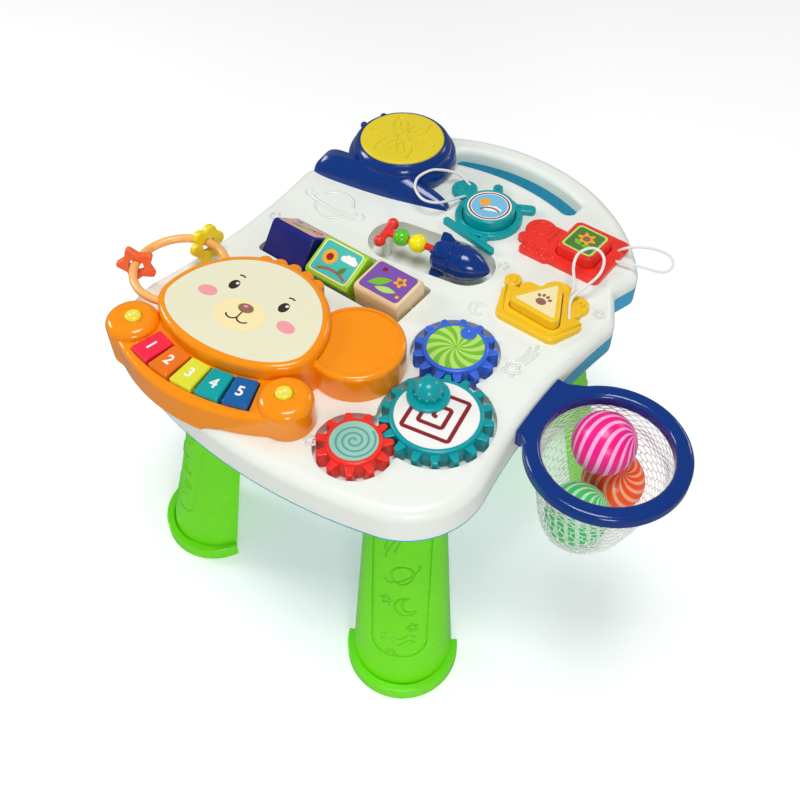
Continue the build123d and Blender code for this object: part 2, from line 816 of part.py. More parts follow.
fan = Pos(0, key_fan_y) * Rot(0, 0, 0)
key_frames = []
for index in range(key_count):
    angle = (index - (key_count - 1) / 2) * key_step
    key_frames.append(Pos(0, key_fan_y, 0) * Rot(0, 0, angle) * Pos(0, -key_fan, 0))
fan_half = key_step * key_count / 2
key_low = key_fan - key_length / 2 - key_fit
key_high = key_fan + key_length / 2 + key_fit
fan_start = 270 - fan_half
window_edges = [
    CenterArc((0, key_fan_y), key_high, fan_start, 2 * fan_half),
    CenterArc((0, key_fan_y), key_low, fan_start, 2 * fan_half),
]
window_edges.append(Line(window_edges[0] @ 0, window_edges[1] @ 0))
window_edges.append(Line(window_edges[0] @ 1, window_edges[1] @ 1))
piano -= slab_of(make_face(window_edges), slab_top - shell_wall - 1, slab_top + 1)
for side in (1, -1):
    hollow = slab_of(disc(side * lobe_x, lobe_y, lobe_radius - shell_wall - 2), -1, lobe_top - shell_wall - 2)
    piano -= hollow
    hole = slab_of(disc(side * button_x, button_y, button_radius + button_fit), slab_top, lobe_top + 1)
    piano -= hole
skirt = slab_of(slab_plan(0), -skirt_drop, 0) - slab_of(slab_plan(shell_wall), -skirt_drop - 1, 1)
skirt = piano_frame * skirt - slab_of(deck_plan(skirt_from), -skirt_drop - 1, 1)
skirt -= deck_block
housing = piano_frame * piano
for wedge in skirt.solids():
    if wedge.volume > 20:
        housing += wedge

# Bottom plate of the keyboard unit with its battery bay, posts and door
bay_width = battery_count * (2 * battery_radius + 1) + 4
bay_length = battery_length + 6
bay_y = 22.0
plate = slab_of(inner_plan(seat_gap), 0, plate_thick)


def bay_plan(grow):
    return Pos(0, bay_y) * rounded_box(bay_width + 6 + 2 * grow, bay_length + 6 + 2 * grow, 3 + grow)


plate -= slab_of(bay_plan(face_fit), -1, plate_thick + 1)
post_places = ((-38, -64), (38, -64), (-38, -80), (38, -80))
for x, y in post_places:
    plate += slab_of(disc(x, y, 3), plate_thick / 2, board_z)
on_deck = slab_of(deck_plan(1.0), -1, 60)
solids["piano_housing_bottom"] = (piano_frame * plate) & on_deck
door = slab_of(bay_plan(0), 0, plate_thick)
for side in (1, -1):
    door += slab_of(Pos(side * (bay_width / 2), bay_y) * Rectangle(1.6, bay_length), plate_thick / 2, 9)
solids["battery_door"] = piano_frame * door
cells = Compound()
cell_parts = []
for index in range(battery_count):
    x = (index - (battery_count - 1) / 2) * (2 * battery_radius + 1)
    cell = Cylinder(battery_radius, battery_length) + Pos(0, 0, battery_length / 2 + 0.6) * Cylinder(2.6, 1.2)
    turn = 90 if index % 2 else -90
    cell_parts.append(Pos(x, bay_y, plate_thick + battery_radius + 0.1) * Rot(turn, 0, 0) * cell)
solids["batteries"] = piano_frame * Compound(cell_parts)
board = Pos(0, 2 - key_row) * rounded_box(122, 30, 2)
solids["circuit_board"] = piano_frame * slab_of(board, board_z, board_z + board_thick)
pad_z = board_z + board_thick
pads = slab_of(Pos(0, 3 - key_row) * rounded_box(118, 22, 3), pad_z, pad_z + pad_thick)
for frame in key_frames:
    pads += frame * slab_of(Circle(5), pad_z, pad_z + pad_thick + pad_dome)
solids["key_pads"] = piano_frame * pads
speaker = slab_of(disc(-50, 30, speaker_radius), plate_thick, plate_thick + 3)
speaker += slab_of(disc(-50, 30, speaker_radius * 0.45), plate_thick, plate_thick + speaker_height)
solids["speaker"] = piano_frame * speaker

# Face panel, keys and buttons
panel = softened(egg(0), head_top - face_thick, head_top, 0.5)
solids["face_panel"] = piano_frame * panel
for index, frame in enumerate(key_frames):
    outline_key = fillet(key_outline(0).vertices(), 2.0)
    key = softened(outline_key, key_bottom, key_top, key_edge)
    hollow = fillet(key_outline(-key_wall).vertices(), 1.0)
    key -= slab_of(hollow, key_bottom - 1, key_top - key_wall - 1)
    solids["key_" + str(index + 1)] = piano_frame * frame * key
button_low = lobe_top - shell_wall - 2 - seat_gap
for side, name in ((-1, "button_left"), (1, "button_right")):
    button = softened(Circle(button_radius), button_low - 4, button_top, 3.0)
    button += slab_of(Circle(button_flange), button_low - 2, button_low)
    solids[name] = piano_frame * Pos(side * button_x, button_y, 0) * button

# Slide switch in the rear wall of the head
switch_frame = piano_frame * Rot(0, 0, 140) * Pos(0, 0, 16)
rear = switch_frame * Pos(face_half_width + head_rim, 0, 0)
housing -= rear * Box(14, switch_length + switch_travel + 1, 6)
solids["piano_housing_top"] = housing
slider = Pos(0, -switch_travel / 2, 0) * Box(11, switch_length, 5.4)
slider = fillet(slider.edges().filter_by(Axis.Z), 1.0)
solids["power_switch"] = rear * slider

# Ring handle on the head and the two loose beads on it
ring_frame = Pos(ring_x, ring_y, ring_z)
ring = ring_frame * Torus(ring_radius, ring_tube)
ring = ring - piano_frame * head
ring_parts = ring.solids().sort_by(Axis.X)
solids["ear_ring"] = ring_parts[0]


def flower():
    ring_at = flower_radius - flower_petal / 2
    shape = Circle(ring_at - 1)
    for index in range(6):
        shape += Rot(0, 0, 60 * index) * Pos(ring_at, 0) * Circle(flower_petal)
    inward = [v for v in shape.vertices() if hypot(v.X, v.Y) < ring_at + flower_petal / 2]
    shape = fillet(inward, 1.5)
    return shape - Circle(bead_bore)


def star():
    points = []
    for index in range(10):
        reach = star_radius if index % 2 == 0 else star_waist
        points.append((reach * cos(radians(36 * index)), reach * sin(radians(36 * index))))
    shape = Polygon(*points, align=None)
    outer = [v for v in shape.vertices() if hypot(v.X, v.Y) > (star_radius + star_waist) / 2]
    shape = fillet(outer, 3.5)
    return shape - Circle(bead_bore)


def ring_bead(shape, thick, bearing, swing, pitch):
    # threaded on the tube, hanging by the upper side of its bore, turned toward the front
    body = extrude(shape, amount=thick / 2, both=True)
    faces = body.faces().filter_by(Axis.Z)
    rims = faces[0].outer_wire().edges() + faces[1].outer_wire().edges()
    body = fillet(rims, 2.0)
    drop = bead_bore - ring_tube - 1.3
    place = ring_frame * Rot(0, 0, bearing) * Pos(ring_radius, 0, -drop)
    return place * Rot(0, 0, swing) * Rot(pitch, 0, 0) * Rot(90, 0, 0) * body


solids["flower_bead"] = ring_bead(flower(), flower_thick, flower_bearing, -14, -6)
solids["star_bead"] = ring_bead(star(), star_thick, star_bearing, 10, 6)

# Drum
belly = [
    Line((0, 0), (drum_base, 0)),
    ThreePointArc((drum_base, 0), (drum_belly, 9), (drum_base - 3.5, 22)),
    ThreePointArc((drum_base - 3.5, 22), (drum_rim + 2.6, 29.5), (drum_rim, drum_height)),
    Line((drum_rim, drum_height), (0, drum_height)),
    Line((0, drum_height), (0, 0)),
]
drum = revolve(Plane.XZ * make_face(belly), axis=Axis.Z)
drum -= slab_of(Circle(drum_head_radius + drum_head_fit), 22, drum_height + 1)
drum -= slab_of(Circle(drum_rim - 4.5), -1, 23)
drum_frame = Pos(drum_x, drum_y, 0)
visor_faces = []
for x, y, rise, slope, back in visor_rows:
    section = make_face([
        ThreePointArc((0, 0), (0.36 * slope, 0.62 * rise), (slope, rise)),
        Line((slope, rise), (slope + back, 0.86 * rise)),
        Line((slope + back, 0.86 * rise), (slope + back, 0)),
        Line((slope + back, 0), (0, 0)),
    ])
    visor_faces.append(Pos(x, y, 0) * Rot(0, 0, visor_turn + 90) * Rot(90, 0, 0) * section)
visor = loft(visor_faces)
visor -= drum_frame * slab_of(Circle(drum_rim + 2), -1, 40)
for bearing in horn_bearings:
    drum += Rot(0, 0, bearing) * Pos(drum_base - 2, 0, horn_z) * Sphere(horn_ball)
solids["drum_housing"] = drum_frame * drum + visor
head_low = drum_head_top - drum_head_thick
drum_skin = softened(Circle(drum_head_radius), head_low, drum_head_top, 3.0)
drum_skin -= slab_of(Circle(drum_head_radius - 3), head_low - 1, drum_head_top - 2.6)
drum_skin += slab_of(Circle(7), head_low, drum_head_top - 1)
solids["drum_head"] = drum_frame * drum_skin
switch_top = head_low - drum_press - seat_gap
stem = slab_of(Circle(9), 0, switch_top - 4) + slab_of(Circle(4), 0, switch_top)
solids["drum_switch"] = drum_frame * stem


# Picture plates round the shape pieces
def relief(shapes):
    plate = softened(shapes[0], 0, plate_top, plate_edge)
    for shape in shapes[1:]:
        plate += softened(shape, 0, plate_top, plate_edge)
    return plate


copter = relief([
    disc(14, 183, 37),
    disc(-33, 204, 14.5),
    capsule(-30, 203, -8, 194, 14),
    capsule(-4, 228, 6, 212, 11),
    capsule(20, 205, 45, 219, 12),
    capsule(-18, 149, 47, 138, 8),
    capsule(-4, 148, 2, 160, 8),
    capsule(32, 142, 30, 156, 8),
])
solids["helicopter_plate"] = copter - slab_of(round_outline(piece_fit), -1, plate_top + 1)

train = relief([
    Pos(130, 197) * rounded_box(66, 74, 8),
    disc(73, 197, 17),
    Pos(86, 184) * rounded_box(36, 54, 5),
    capsule(64, 178, 84, 178, 14),
])
solids["train_plate"] = train - slab_of(square_outline(piece_fit), -1, plate_top + 1)

hull = Polygon((104, 62), (170, 62), (187, 104), (85, 108), align=None)
hull = fillet(hull.vertices(), 9)
boat = relief([
    hull,
    disc(138, 124, 17),
    disc(92, 114, 9),
    disc(163, 121, 13),
    capsule(112, 112, 164, 112, 20),
])
solids["boat_plate"] = boat - slab_of(triangle_outline(piece_fit), -1, plate_top + 1)


# Tether cords: loops whose ends enter the plates. Each bend is as wide as its two runs allow
cord_routes = {
    "cord_round": (
        (-27.5, 211.0, 3.5), (-36.4, 213.0, 7.8), (-47.8, 212.5, 13.9), (-57.1, 203.2, 19.3),
        (-63.7, 195.0, 22.6), (-68.4, 187.0, 25.0), (-73.1, 171.6, 24.2), (-70.7, 161.4, 23.9),
        (-63.9, 151.3, 23.1), (-52.0, 144.2, 22.4), (-42.2, 143.3, 21.6), (-32.3, 151.3, 19.0),
        (-29.9, 163.2, 14.8), (-28.3, 172.8, 11.7), (-26.3, 186.4, 7.6), (-24.5, 197.0, 3.5)),
    "cord_square": (
        (154.0, 217.0, 3.5), (160.2, 216.8, 11.4), (171.1, 220.6, 17.0), (183.7, 226.6, 18.4),
        (194.4, 231.2, 17.4), (204.3, 234.0, 14.8), (211.8, 231.1, 12.4), (215.4, 224.0, 10.3),
        (213.4, 216.2, 8.7), (206.6, 211.8, 7.7), (196.5, 209.8, 7.6), (187.0, 206.5, 8.6),
        (177.5, 203.6, 8.9), (166.5, 201.9, 6.9), (157.0, 201.5, 3.5)),
    "cord_triangle": (
        (153.5, 121.0, 3.5), (154.0, 126.2, 11.8), (150.9, 133.2, 21.6), (142.9, 141.5, 28.9),
        (138.7, 151.4, 32.8), (137.9, 161.6, 34.8), (144.9, 173.3, 35.9), (154.5, 175.1, 34.5),
        (163.6, 168.6, 32.0), (167.6, 156.6, 27.6), (166.7, 147.6, 24.1), (162.2, 136.9, 18.3),
        (158.0, 125.8, 15.4), (157.5, 116.6, 12.2), (163.3, 104.7, 8.8), (169.8, 97.0, 3.5)),
}


def bend_radii(points):
    radii = []
    for before, here, after in zip(points, points[1:], points[2:]):
        into = Vector(here) - Vector(before)
        out = Vector(after) - Vector(here)
        half = radians(into.get_angle(out)) / 2
        radii.append(0.45 * min(into.length, out.length) / tan(half))
    return radii


for name, points in cord_routes.items():
    radii = bend_radii(points)
    path = FilletPolyline(*points, radius=radii)
    start = Plane(origin=path @ 0, z_dir=path % 0)
    tube = sweep(start * Circle(cord_radius), path=path)
    share = tube.volume / (pi * cord_radius**2 * path.length)
    print(name, "length", round(path.length, 1), "fill", round(share, 3), "radii", [round(r, 1) for r in radii])
    solids[name] = tube - slab_of(Rectangle(900, 900), -20, plate_top)


# Shape pieces: upright sides with a little draft, a rounded rim and a sunk picture face
def piece(outer, upper, picture, top):
    low = -pocket_depth + seat_gap
    body = loft([Pos(0, 0, low) * outer, Pos(0, 0, top) * upper], ruled=True)
    body = fillet(top_edges(body), piece_edge)
    return body - slab_of(picture, top - piece_sink, top + 1)


solids["round_piece"] = piece(
    round_outline(0), round_outline(-round_draft), round_outline(round_face - round_radius), round_top)
solids["square_piece"] = piece(
    square_outline(0), square_outline(-round_draft / 2), square_outline(-square_rim), square_top)
solids["triangle_piece"] = piece(
    triangle_outline(0), triangle_outline(-round_draft / 2), triangle_outline(-triangle_rim), triangle_top)

# Hoop with its bracket, bag and balls
hoop_low = hoop_top - hoop_thick
hoop = slab_of(disc(hoop_x, hoop_y, hoop_outer), hoop_low, hoop_top)
hoop -= slab_of(disc(hoop_x, hoop_y, hoop_inner), hoop_low - 1, hoop_top + 1)
hoop = fillet(top_edges(hoop), hoop_edge)
hoop = fillet(top_edges(hoop, outer=False), hoop_edge)
arm_x = waist_x - 14
arm = Polygon(
    (arm_x, bracket_back), (arm_x, bracket_front), (waist_x + 6, bracket_front), (hoop_x - 30, hoop_y - 66),
    (hoop_x - 30, hoop_y + 66), (waist_x + 6, bracket_back), align=None)
arm = softened(arm, hoop_low, hoop_top, hoop_foot_edge)
tab = Pos(waist_x - 4, (bracket_back + bracket_front) / 2) * Rectangle(20, bracket_back - bracket_front)
arm += softened(tab, -bracket_drop, hoop_top, hoop_foot_edge)
arm -= slab_of(disc(hoop_x, hoop_y, (hoop_inner + hoop_outer) / 2), hoop_low - 1, hoop_top + 1)
solids["hoop_ring"] = hoop + arm - slab_of(deck_plan(0), -60, 1)

bag_top = hoop_top - hoop_thick
bag_rows = (
    (bag_top, 277.0, -9.0, 64.0, 64.0),
    (-52.0, 276.0, -8.0, 59.0, 65.0),
    (-86.0, 275.0, -7.5, 50.0, 66.0),
    (-109.0, 275.0, -6.0, 42.0, 59.5),
    (-122.4, 276.0, -3.0, 21.0, 42.0),
)


def bag_form(inset, lift):
    sections = []
    for z, x, y, rx, ry in bag_rows:
        height = z + (lift if z < bag_top else 0)
        sections.append(Pos(x, y, height) * Ellipse(rx - inset, ry - inset))
    return loft(sections)


bag = bag_form(0, 0) - bag_form(bag_wall, bag_wall)
solids["net_bag"] = bag
solids["ball_green"] = Pos(*ball_green_at) * Sphere(ball_radius)
solids["ball_orange"] = Pos(*ball_orange_at) * Sphere(ball_radius)
solids["ball_pink"] = Pos(*ball_pink_at) * Sphere(ball_radius)

# The origin is on the floor under the middle of the whole, so each solid is moved there and saved
boxes = [solid.bounding_box() for solid in solids.values()]
left = min(box.min.X for box in boxes)
right = max(box.max.X for box in boxes)
front = min(box.min.Y for box in boxes)
back = max(box.max.Y for box in boxes)
shift_x = -(left + right) / 2
shift_y = -(front + back) / 2
to_floor = Pos(shift_x, shift_y, deck_height)
os.makedirs("parts", exist_ok=True)
for name, solid in solids.items():
    export_step(to_floor * solid, "parts/" + name + ".step")
print("shift", round(shift_x, 3), round(shift_y, 3), "size", round(right - left, 2), round(back - front, 2))
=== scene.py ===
from math import acos, atan2, cos, hypot, pi, radians, sin

import bmesh
import bpy
from mathutils import Matrix, Vector, noise
from mathutils.geometry import tessellate_polygon


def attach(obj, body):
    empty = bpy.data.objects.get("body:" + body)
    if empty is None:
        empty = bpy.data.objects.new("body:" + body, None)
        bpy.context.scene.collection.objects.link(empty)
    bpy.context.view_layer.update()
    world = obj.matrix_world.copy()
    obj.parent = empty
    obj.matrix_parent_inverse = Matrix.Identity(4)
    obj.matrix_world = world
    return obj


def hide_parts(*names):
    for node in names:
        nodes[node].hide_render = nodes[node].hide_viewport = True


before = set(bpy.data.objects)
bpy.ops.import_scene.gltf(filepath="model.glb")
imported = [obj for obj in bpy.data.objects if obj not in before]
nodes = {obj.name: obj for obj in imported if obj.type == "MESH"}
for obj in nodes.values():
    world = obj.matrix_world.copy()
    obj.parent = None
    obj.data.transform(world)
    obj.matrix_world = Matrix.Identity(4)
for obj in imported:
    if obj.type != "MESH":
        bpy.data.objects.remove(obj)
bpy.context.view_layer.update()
print("frame loaded:", len(nodes), "solids")

# The deck's own drawing frame: millimetres, heights from the top of the deck
deck = {"shift": (-59.818, -46.829, 345.0), "depth": 42.04}
toRow = Matrix.Scale(0.001, 4) @ Matrix.Translation(deck["shift"])


def moved(x, y, z=0.0, turn=0.0):
    return Matrix.Translation((x, y, z)) @ Matrix.Rotation(radians(turn), 4, "Z")


def rowPoint(x, y, z):
    return toRow @ Vector((x, y, z))


def tint(red, green, blue):
    # screen colour, 0 to 255, as the shader's linear colour
    values = []
    for value in (red, green, blue):
        share = value / 255
        values.append(share / 12.92 if share <= 0.04045 else ((share + 0.055) / 1.055) ** 2.4)
    return (*values, 1.0)


# Finishes
surface = {
    "coatRough": 0.07, "mirror": 0.36, "glowDepth": 0.004, "glowTint": (1.0, 0.8, 0.6), "cloud": 22.0,
    "peel": 420.0, "peelDepth": 0.0006, "spread": (0.09, 0.05), "edgeSamples": 4,
}
braid = {"turns": 3, "along": 170.0, "scale": 0.45, "loose": 0.25, "shadow": 0.72, "depth": 0.0003}


def setAll(item, **values):
    for name, value in values.items():
        setattr(item, name, value)


def dress(item, **values):
    # named inputs of a node; an underscore stands for a space
    for name, value in values.items():
        item.inputs[name.replace("_", " ")].default_value = value
    return item


def newNode(tree, kind, **values):
    return dress(tree.nodes.new(kind), **values)


def wire(tree, source, output, target, entry):
    tree.links.new(source.outputs[output], target.inputs[entry])


def newMaterial(name, **values):
    material = bpy.data.materials.new(name)
    material.use_nodes = True
    shader = dress(material.node_tree.nodes["Principled BSDF"], **values)
    return material, material.node_tree, shader


def blendColours(tree, rgb, low, high, source, output, shader):
    # base colour between a darker and a lighter tone of one colour
    shade = tree.nodes.new("ShaderNodeMix")
    shade.data_type = "RGBA"
    dress(shade, **{name: (*(min(1, value * share) for value in tint(*rgb)[:3]), 1)
                    for name, share in (("A", low), ("B", high))})
    wire(tree, source, output, shade, "Factor")
    wire(tree, shade, "Result", shader, "Base Color")


def mouldedPlastic(name, rgb, gloss=0.26, coat=0.35, glow=0.06, grain=0.05, vary=0.05, soften=0.0005):
    # moulded plastic: slight orange peel, uneven gloss, softened edges, some light inside
    material, tree, shader = newMaterial(
        name, Coat_Weight=coat * 0.5, Coat_Roughness=surface["coatRough"], Subsurface_Weight=glow,
        Specular_IOR_Level=surface["mirror"], Subsurface_Radius=surface["glowTint"],
        Subsurface_Scale=surface["glowDepth"])
    place = tree.nodes.new("ShaderNodeTexCoord")
    cloud = newNode(tree, "ShaderNodeTexNoise", Scale=surface["cloud"], Detail=4.0)
    wire(tree, place, "Object", cloud, "Vector")
    blendColours(tree, rgb, 1 - vary, 1 + vary, cloud, "Fac", shader)
    dull, bright = surface["spread"]
    wear = newNode(tree, "ShaderNodeMapRange", To_Min=gloss - bright, To_Max=gloss + dull)
    wire(tree, cloud, "Fac", wear, "Value")
    wire(tree, wear, "Result", shader, "Roughness")
    peel = newNode(tree, "ShaderNodeTexNoise", Scale=surface["peel"], Detail=2.0)
    wire(tree, place, "Object", peel, "Vector")
    bump = newNode(tree, "ShaderNodeBump", Strength=grain, Distance=surface["peelDepth"])
    wire(tree, peel, "Fac", bump, "Height")
    if soften:
        edge = newNode(tree, "ShaderNodeBevel", Radius=soften)
        edge.samples = surface["edgeSamples"]
        wire(tree, edge, "Normal", bump, "Normal")
    wire(tree, bump, "Normal", shader, "Normal")
    return material


def printedFilm(name, rgb, gloss=0.34):
    # printed vinyl: faint print grain under a smooth film
    return mouldedPlastic(name, rgb, gloss=gloss, coat=0.15, glow=0.0, grain=0.02, vary=0.025, soften=0)


def brushedMetal(name, rgb, gloss=0.3):
    material = mouldedPlastic(name, rgb, gloss=gloss, coat=0.0, glow=0.0, grain=0.08, soften=0.0002)
    dress(material.node_tree.nodes["Principled BSDF"], Metallic=1.0)
    return material


def braidedCord(name, rgb):
    # round braid: two crossing diagonals along the cord's own length
    material, tree, shader = newMaterial(name, Sheen_Weight=0.35, Sheen_Roughness=0.5)
    place = tree.nodes.new("ShaderNodeTexCoord")
    weave = tree.nodes.new("ShaderNodeMath")
    weave.operation = "MAXIMUM"
    for index, turns in enumerate((braid["turns"], -braid["turns"])):
        spread = newNode(tree, "ShaderNodeMapping", Scale=(braid["along"], turns, 1.0))
        wire(tree, place, "UV", spread, "Vector")
        strand = newNode(tree, "ShaderNodeTexWave", Scale=braid["scale"], Distortion=braid["loose"])
        setAll(strand, wave_type="BANDS", bands_direction="DIAGONAL")
        wire(tree, spread, "Vector", strand, "Vector")
        wire(tree, strand, "Fac", weave, index)
    # painted shade: the gaps between the strands are made darker to stand for shade in the grooves
    blendColours(tree, rgb, braid["shadow"], 1, weave, "Value", shader)
    fuzz = newNode(tree, "ShaderNodeMapRange", To_Min=0.9, To_Max=0.68)
    wire(tree, weave, "Value", fuzz, "Value")
    wire(tree, fuzz, "Result", shader, "Roughness")
    bump = newNode(tree, "ShaderNodeBump", Strength=0.5, Distance=braid["depth"])
    wire(tree, weave, "Value", bump, "Height")
    wire(tree, bump, "Normal", shader, "Normal")
    return material


def nettingYarn(name, rgb):
    # thin knitted yarn, white with a faint shine
    material = mouldedPlastic(name, rgb, gloss=0.5, coat=0.0, glow=0.1, grain=0.3, vary=0.08, soften=0)
    dress(material.node_tree.nodes["Principled BSDF"], Sheen_Weight=0.3)
    return material


white = mouldedPlastic("deckWhite", (238, 243, 235), gloss=0.3, coat=0.25, glow=0.1, vary=0.015)
rimBlue = mouldedPlastic("rimBlue", (44, 166, 208), glow=0.12)
legGreen = mouldedPlastic("legGreen", (120, 236, 20), gloss=0.24, glow=0.1)
orange = mouldedPlastic("housingOrange", (252, 148, 8), gloss=0.14, coat=0.7, glow=0.08)
cream = printedFilm("faceCream", (233, 230, 200), gloss=0.3)
navy = mouldedPlastic("navy", (0, 50, 128), gloss=0.14, coat=0.6, glow=0.02)
blockNavy = mouldedPlastic("blockNavy", (26, 34, 118), gloss=0.2)
lime = mouldedPlastic("lime", (160, 216, 40), gloss=0.25)
blockCream = mouldedPlastic("blockCream", (243, 216, 170), gloss=0.28, glow=0.12)
signalRed = mouldedPlastic("signalRed", (240, 52, 42), gloss=0.22, coat=0.4)
gearRed = mouldedPlastic("gearRed", (246, 52, 42), gloss=0.28)
teal = mouldedPlastic("teal", (0, 158, 166), gloss=0.25, coat=0.4)
gearBlue = mouldedPlastic("gearBlue", (58, 108, 220), gloss=0.25)
sunny = mouldedPlastic("sunnyYellow", (246, 198, 32), gloss=0.25, coat=0.4)
drumYellow = mouldedPlastic("drumYellow", (228, 205, 40), gloss=0.38, coat=0.15)
beadGreen, beadYellow, keyRed, keyOrange, keyYellow, keyTeal, keyBlue = (
    mouldedPlastic(name, rgb, gloss=0.16, coat=0.6) for name, rgb in {
        "beadGreen": (92, 200, 36), "beadYellow": (255, 236, 12), "keyRed": (246, 40, 72),
        "keyOrange": (236, 118, 22), "keyYellow": (226, 226, 55), "keyTeal": (6, 163, 165),
        "keyBlue": (20, 96, 164),
    }.items())
buttonYellow = mouldedPlastic("buttonYellow", (240, 226, 62), gloss=0.2, coat=0.5, glow=0.2)
peach = mouldedPlastic("ringPeach", (252, 188, 112), gloss=0.2, coat=0.4, glow=0.15)
flowerYellow = mouldedPlastic("flowerYellow", (240, 220, 26), gloss=0.2, glow=0.12)
starOrange = mouldedPlastic("starOrange", (252, 108, 52), gloss=0.2, glow=0.12)
switchBlack = mouldedPlastic("switchBlack", (34, 34, 36), gloss=0.4, coat=0.0, glow=0.0)
pinGrey = mouldedPlastic("pinGrey", (200, 202, 204), gloss=0.4, coat=0.0)
steel = brushedMetal("steel", (196, 198, 202))
boardGreen = mouldedPlastic("boardGreen", (30, 110, 66), gloss=0.4, coat=0.3, glow=0.0)
padRubber = mouldedPlastic("padRubber", (170, 172, 174), gloss=0.7, coat=0.0, glow=0.0)
cordWhite = braidedCord("cordWhite", (244, 244, 242))
netWhite = nettingYarn("netWhite", (250, 252, 252))
(inkDark, inkBrown, inkPink, inkWhite, inkMint, inkSea, inkMaroon, inkLeaf, inkPale, inkForest, inkAqua,
 inkViolet, inkSalmon, inkSun, inkSand, inkSky) = (
    printedFilm(name, rgb) for name, rgb in {
        "inkDark": (58, 38, 36), "inkBrown": (150, 104, 88), "inkPink": (243, 158, 166),
        "inkWhite": (244, 244, 240), "inkMint": (152, 206, 188), "inkSea": (96, 164, 160),
        "inkMaroon": (140, 30, 36), "inkLeaf": (118, 192, 48), "inkPale": (184, 224, 110),
        "inkForest": (82, 128, 58), "inkAqua": (70, 188, 176), "inkViolet": (124, 82, 170),
        "inkSalmon": (220, 160, 150), "inkSun": (248, 168, 40), "inkSand": (246, 230, 176),
        "inkSky": (120, 190, 226),
    }.items())

nodeFinish = {
    "deck_top": white, "deck_base": rimBlue, "leg_front_right": legGreen, "leg_front_left": legGreen,
    "leg_back_right": legGreen, "leg_back_left": legGreen, "block_axle": steel, "block_blue": blockNavy,
    "block_green": lime, "block_cream": blockCream, "rocket_rod": signalRed, "bead_green": beadGreen,
    "bead_yellow": beadYellow, "rocket": navy, "gear_teal": teal, "gear_red": gearRed,
    "gear_blue": gearBlue, "gear_pins": pinGrey, "gear_knob": teal, "piano_housing_top": orange,
    "piano_housing_bottom": orange, "battery_door": orange, "batteries": steel,
    "circuit_board": boardGreen, "key_pads": padRubber, "speaker": switchBlack, "face_panel": cream,
    "key_1": keyRed, "key_2": keyOrange, "key_3": keyYellow, "key_4": keyTeal, "key_5": keyBlue,
    "button_left": buttonYellow, "button_right": buttonYellow, "power_switch": switchBlack,
    "ear_ring": peach, "flower_bead": flowerYellow, "star_bead": starOrange, "drum_housing": navy,
    "drum_head": drumYellow, "drum_switch": pinGrey, "helicopter_plate": teal, "train_plate": signalRed,
    "boat_plate": sunny, "round_piece": teal, "square_piece": signalRed, "triangle_piece": sunny,
    "hoop_ring": navy,
}
for name, finish in nodeFinish.items():
    nodes[name].data.materials.clear()
    nodes[name].data.materials.append(finish)
print("finishes on the solids:", len(nodeFinish))


# Mesh helpers
def newObject(name, data):
    made = bpy.data.objects.new(name, data)
    bpy.context.scene.collection.objects.link(made)
    return made


def plainMesh(holder):
    # the evaluated mesh of an object, which goes once it is read
    mesh = bpy.data.meshes.new_from_object(holder.evaluated_get(bpy.context.evaluated_depsgraph_get()))
    bpy.data.objects.remove(holder)
    return mesh


def finishPiece(name, mesh, body, smooth=True):
    # a finished mesh becomes a piece that rides on its body
    for polygon in mesh.polygons:
        polygon.use_smooth = smooth
    piece = newObject(name, mesh)
    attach(piece, body)
    return piece


# Heights of prints and moulded lines above their floor, millimetres
layer = {"film": 0.12, "ink": 0.05, "sink": 0.03, "ridgeSides": 8}


def flat(matrix=Matrix.Identity(4)):
    # a plane frame as a function from drawing coordinates to the row
    whole = toRow @ matrix

    def place(x, y, z):
        return whole @ Vector((x, y, z))
    return place


def prism(mesh, loops, low, high, place, slot=0):
    # upright prism over a flat outline, further loops are its holes
    points = [point for loop in loops for point in loop]
    top = [mesh.verts.new(place(x, y, high)) for x, y in points]
    bottom = [mesh.verts.new(place(x, y, low)) for x, y in points]
    faces = []
    for corners in tessellate_polygon([[Vector((x, y, 0)) for x, y in loop] for loop in loops]):
        faces += [mesh.faces.new([row[i] for i in corners]) for row in (top, bottom)]
    start = 0
    for loop in loops:
        for i in range(len(loop)):
            a, b = start + i, start + (i + 1) % len(loop)
            faces.append(mesh.faces.new((bottom[a], bottom[b], top[b], top[a])))
        start += len(loop)
    for face in faces:
        face.material_index = slot


def leftward(points, closed=False):
    # each flat point with the unit step to its left
    ends = [points[-1], *points, points[0]] if closed else [points[0], *points, points[-1]]
    steps = []
    for (ax, ay), (x, y), (bx, by) in zip(ends, points, ends[2:]):
        length = hypot(bx - ax, by - ay) or 1
        steps.append((x, y, (ay - by) / length, (bx - ax) / length))
    return steps


def ridge(mesh, points, width, rise, place, base=0, closed=False):
    # raised line along flat points, its section a soft swell that runs out into the floor
    sides = layer["ridgeSides"]
    rows = []
    for x, y, nx, ny in leftward(points, closed):
        row = []
        for k in range(sides + 1):
            share = 1 - 2 * k / sides
            offset = share * width / 2
            lift = base - layer["sink"] + rise * (0.5 + 0.5 * cos(pi * share))
            row.append(mesh.verts.new(place(x + nx * offset, y + ny * offset, lift)))
        rows.append(row)
    for here, there in zip(rows, rows[1:] + rows[:1] if closed else rows[1:]):
        for k in range(sides):
            mesh.faces.new((here[k], here[k + 1], there[k + 1], there[k]))
        mesh.faces.new((here[sides], here[0], there[0], there[sides]))
    if not closed:
        mesh.faces.new(rows[0])
        mesh.faces.new(rows[-1][::-1])


def makeMesh(name, build, materials):
    mesh = bmesh.new()
    build(mesh)
    bmesh.ops.recalc_face_normals(mesh, faces=mesh.faces)
    data = bpy.data.meshes.new(name)
    mesh.to_mesh(data)
    mesh.free()
    for material in materials:
        data.materials.append(material)
    return data


def addPiece(name, build, materials, body, smooth=True):
    return finishPiece(name, makeMesh(name, build, materials), body, smooth)


def shares(count):
    # 0 to 1 in equal steps
    return [i / count for i in range(count + 1)]


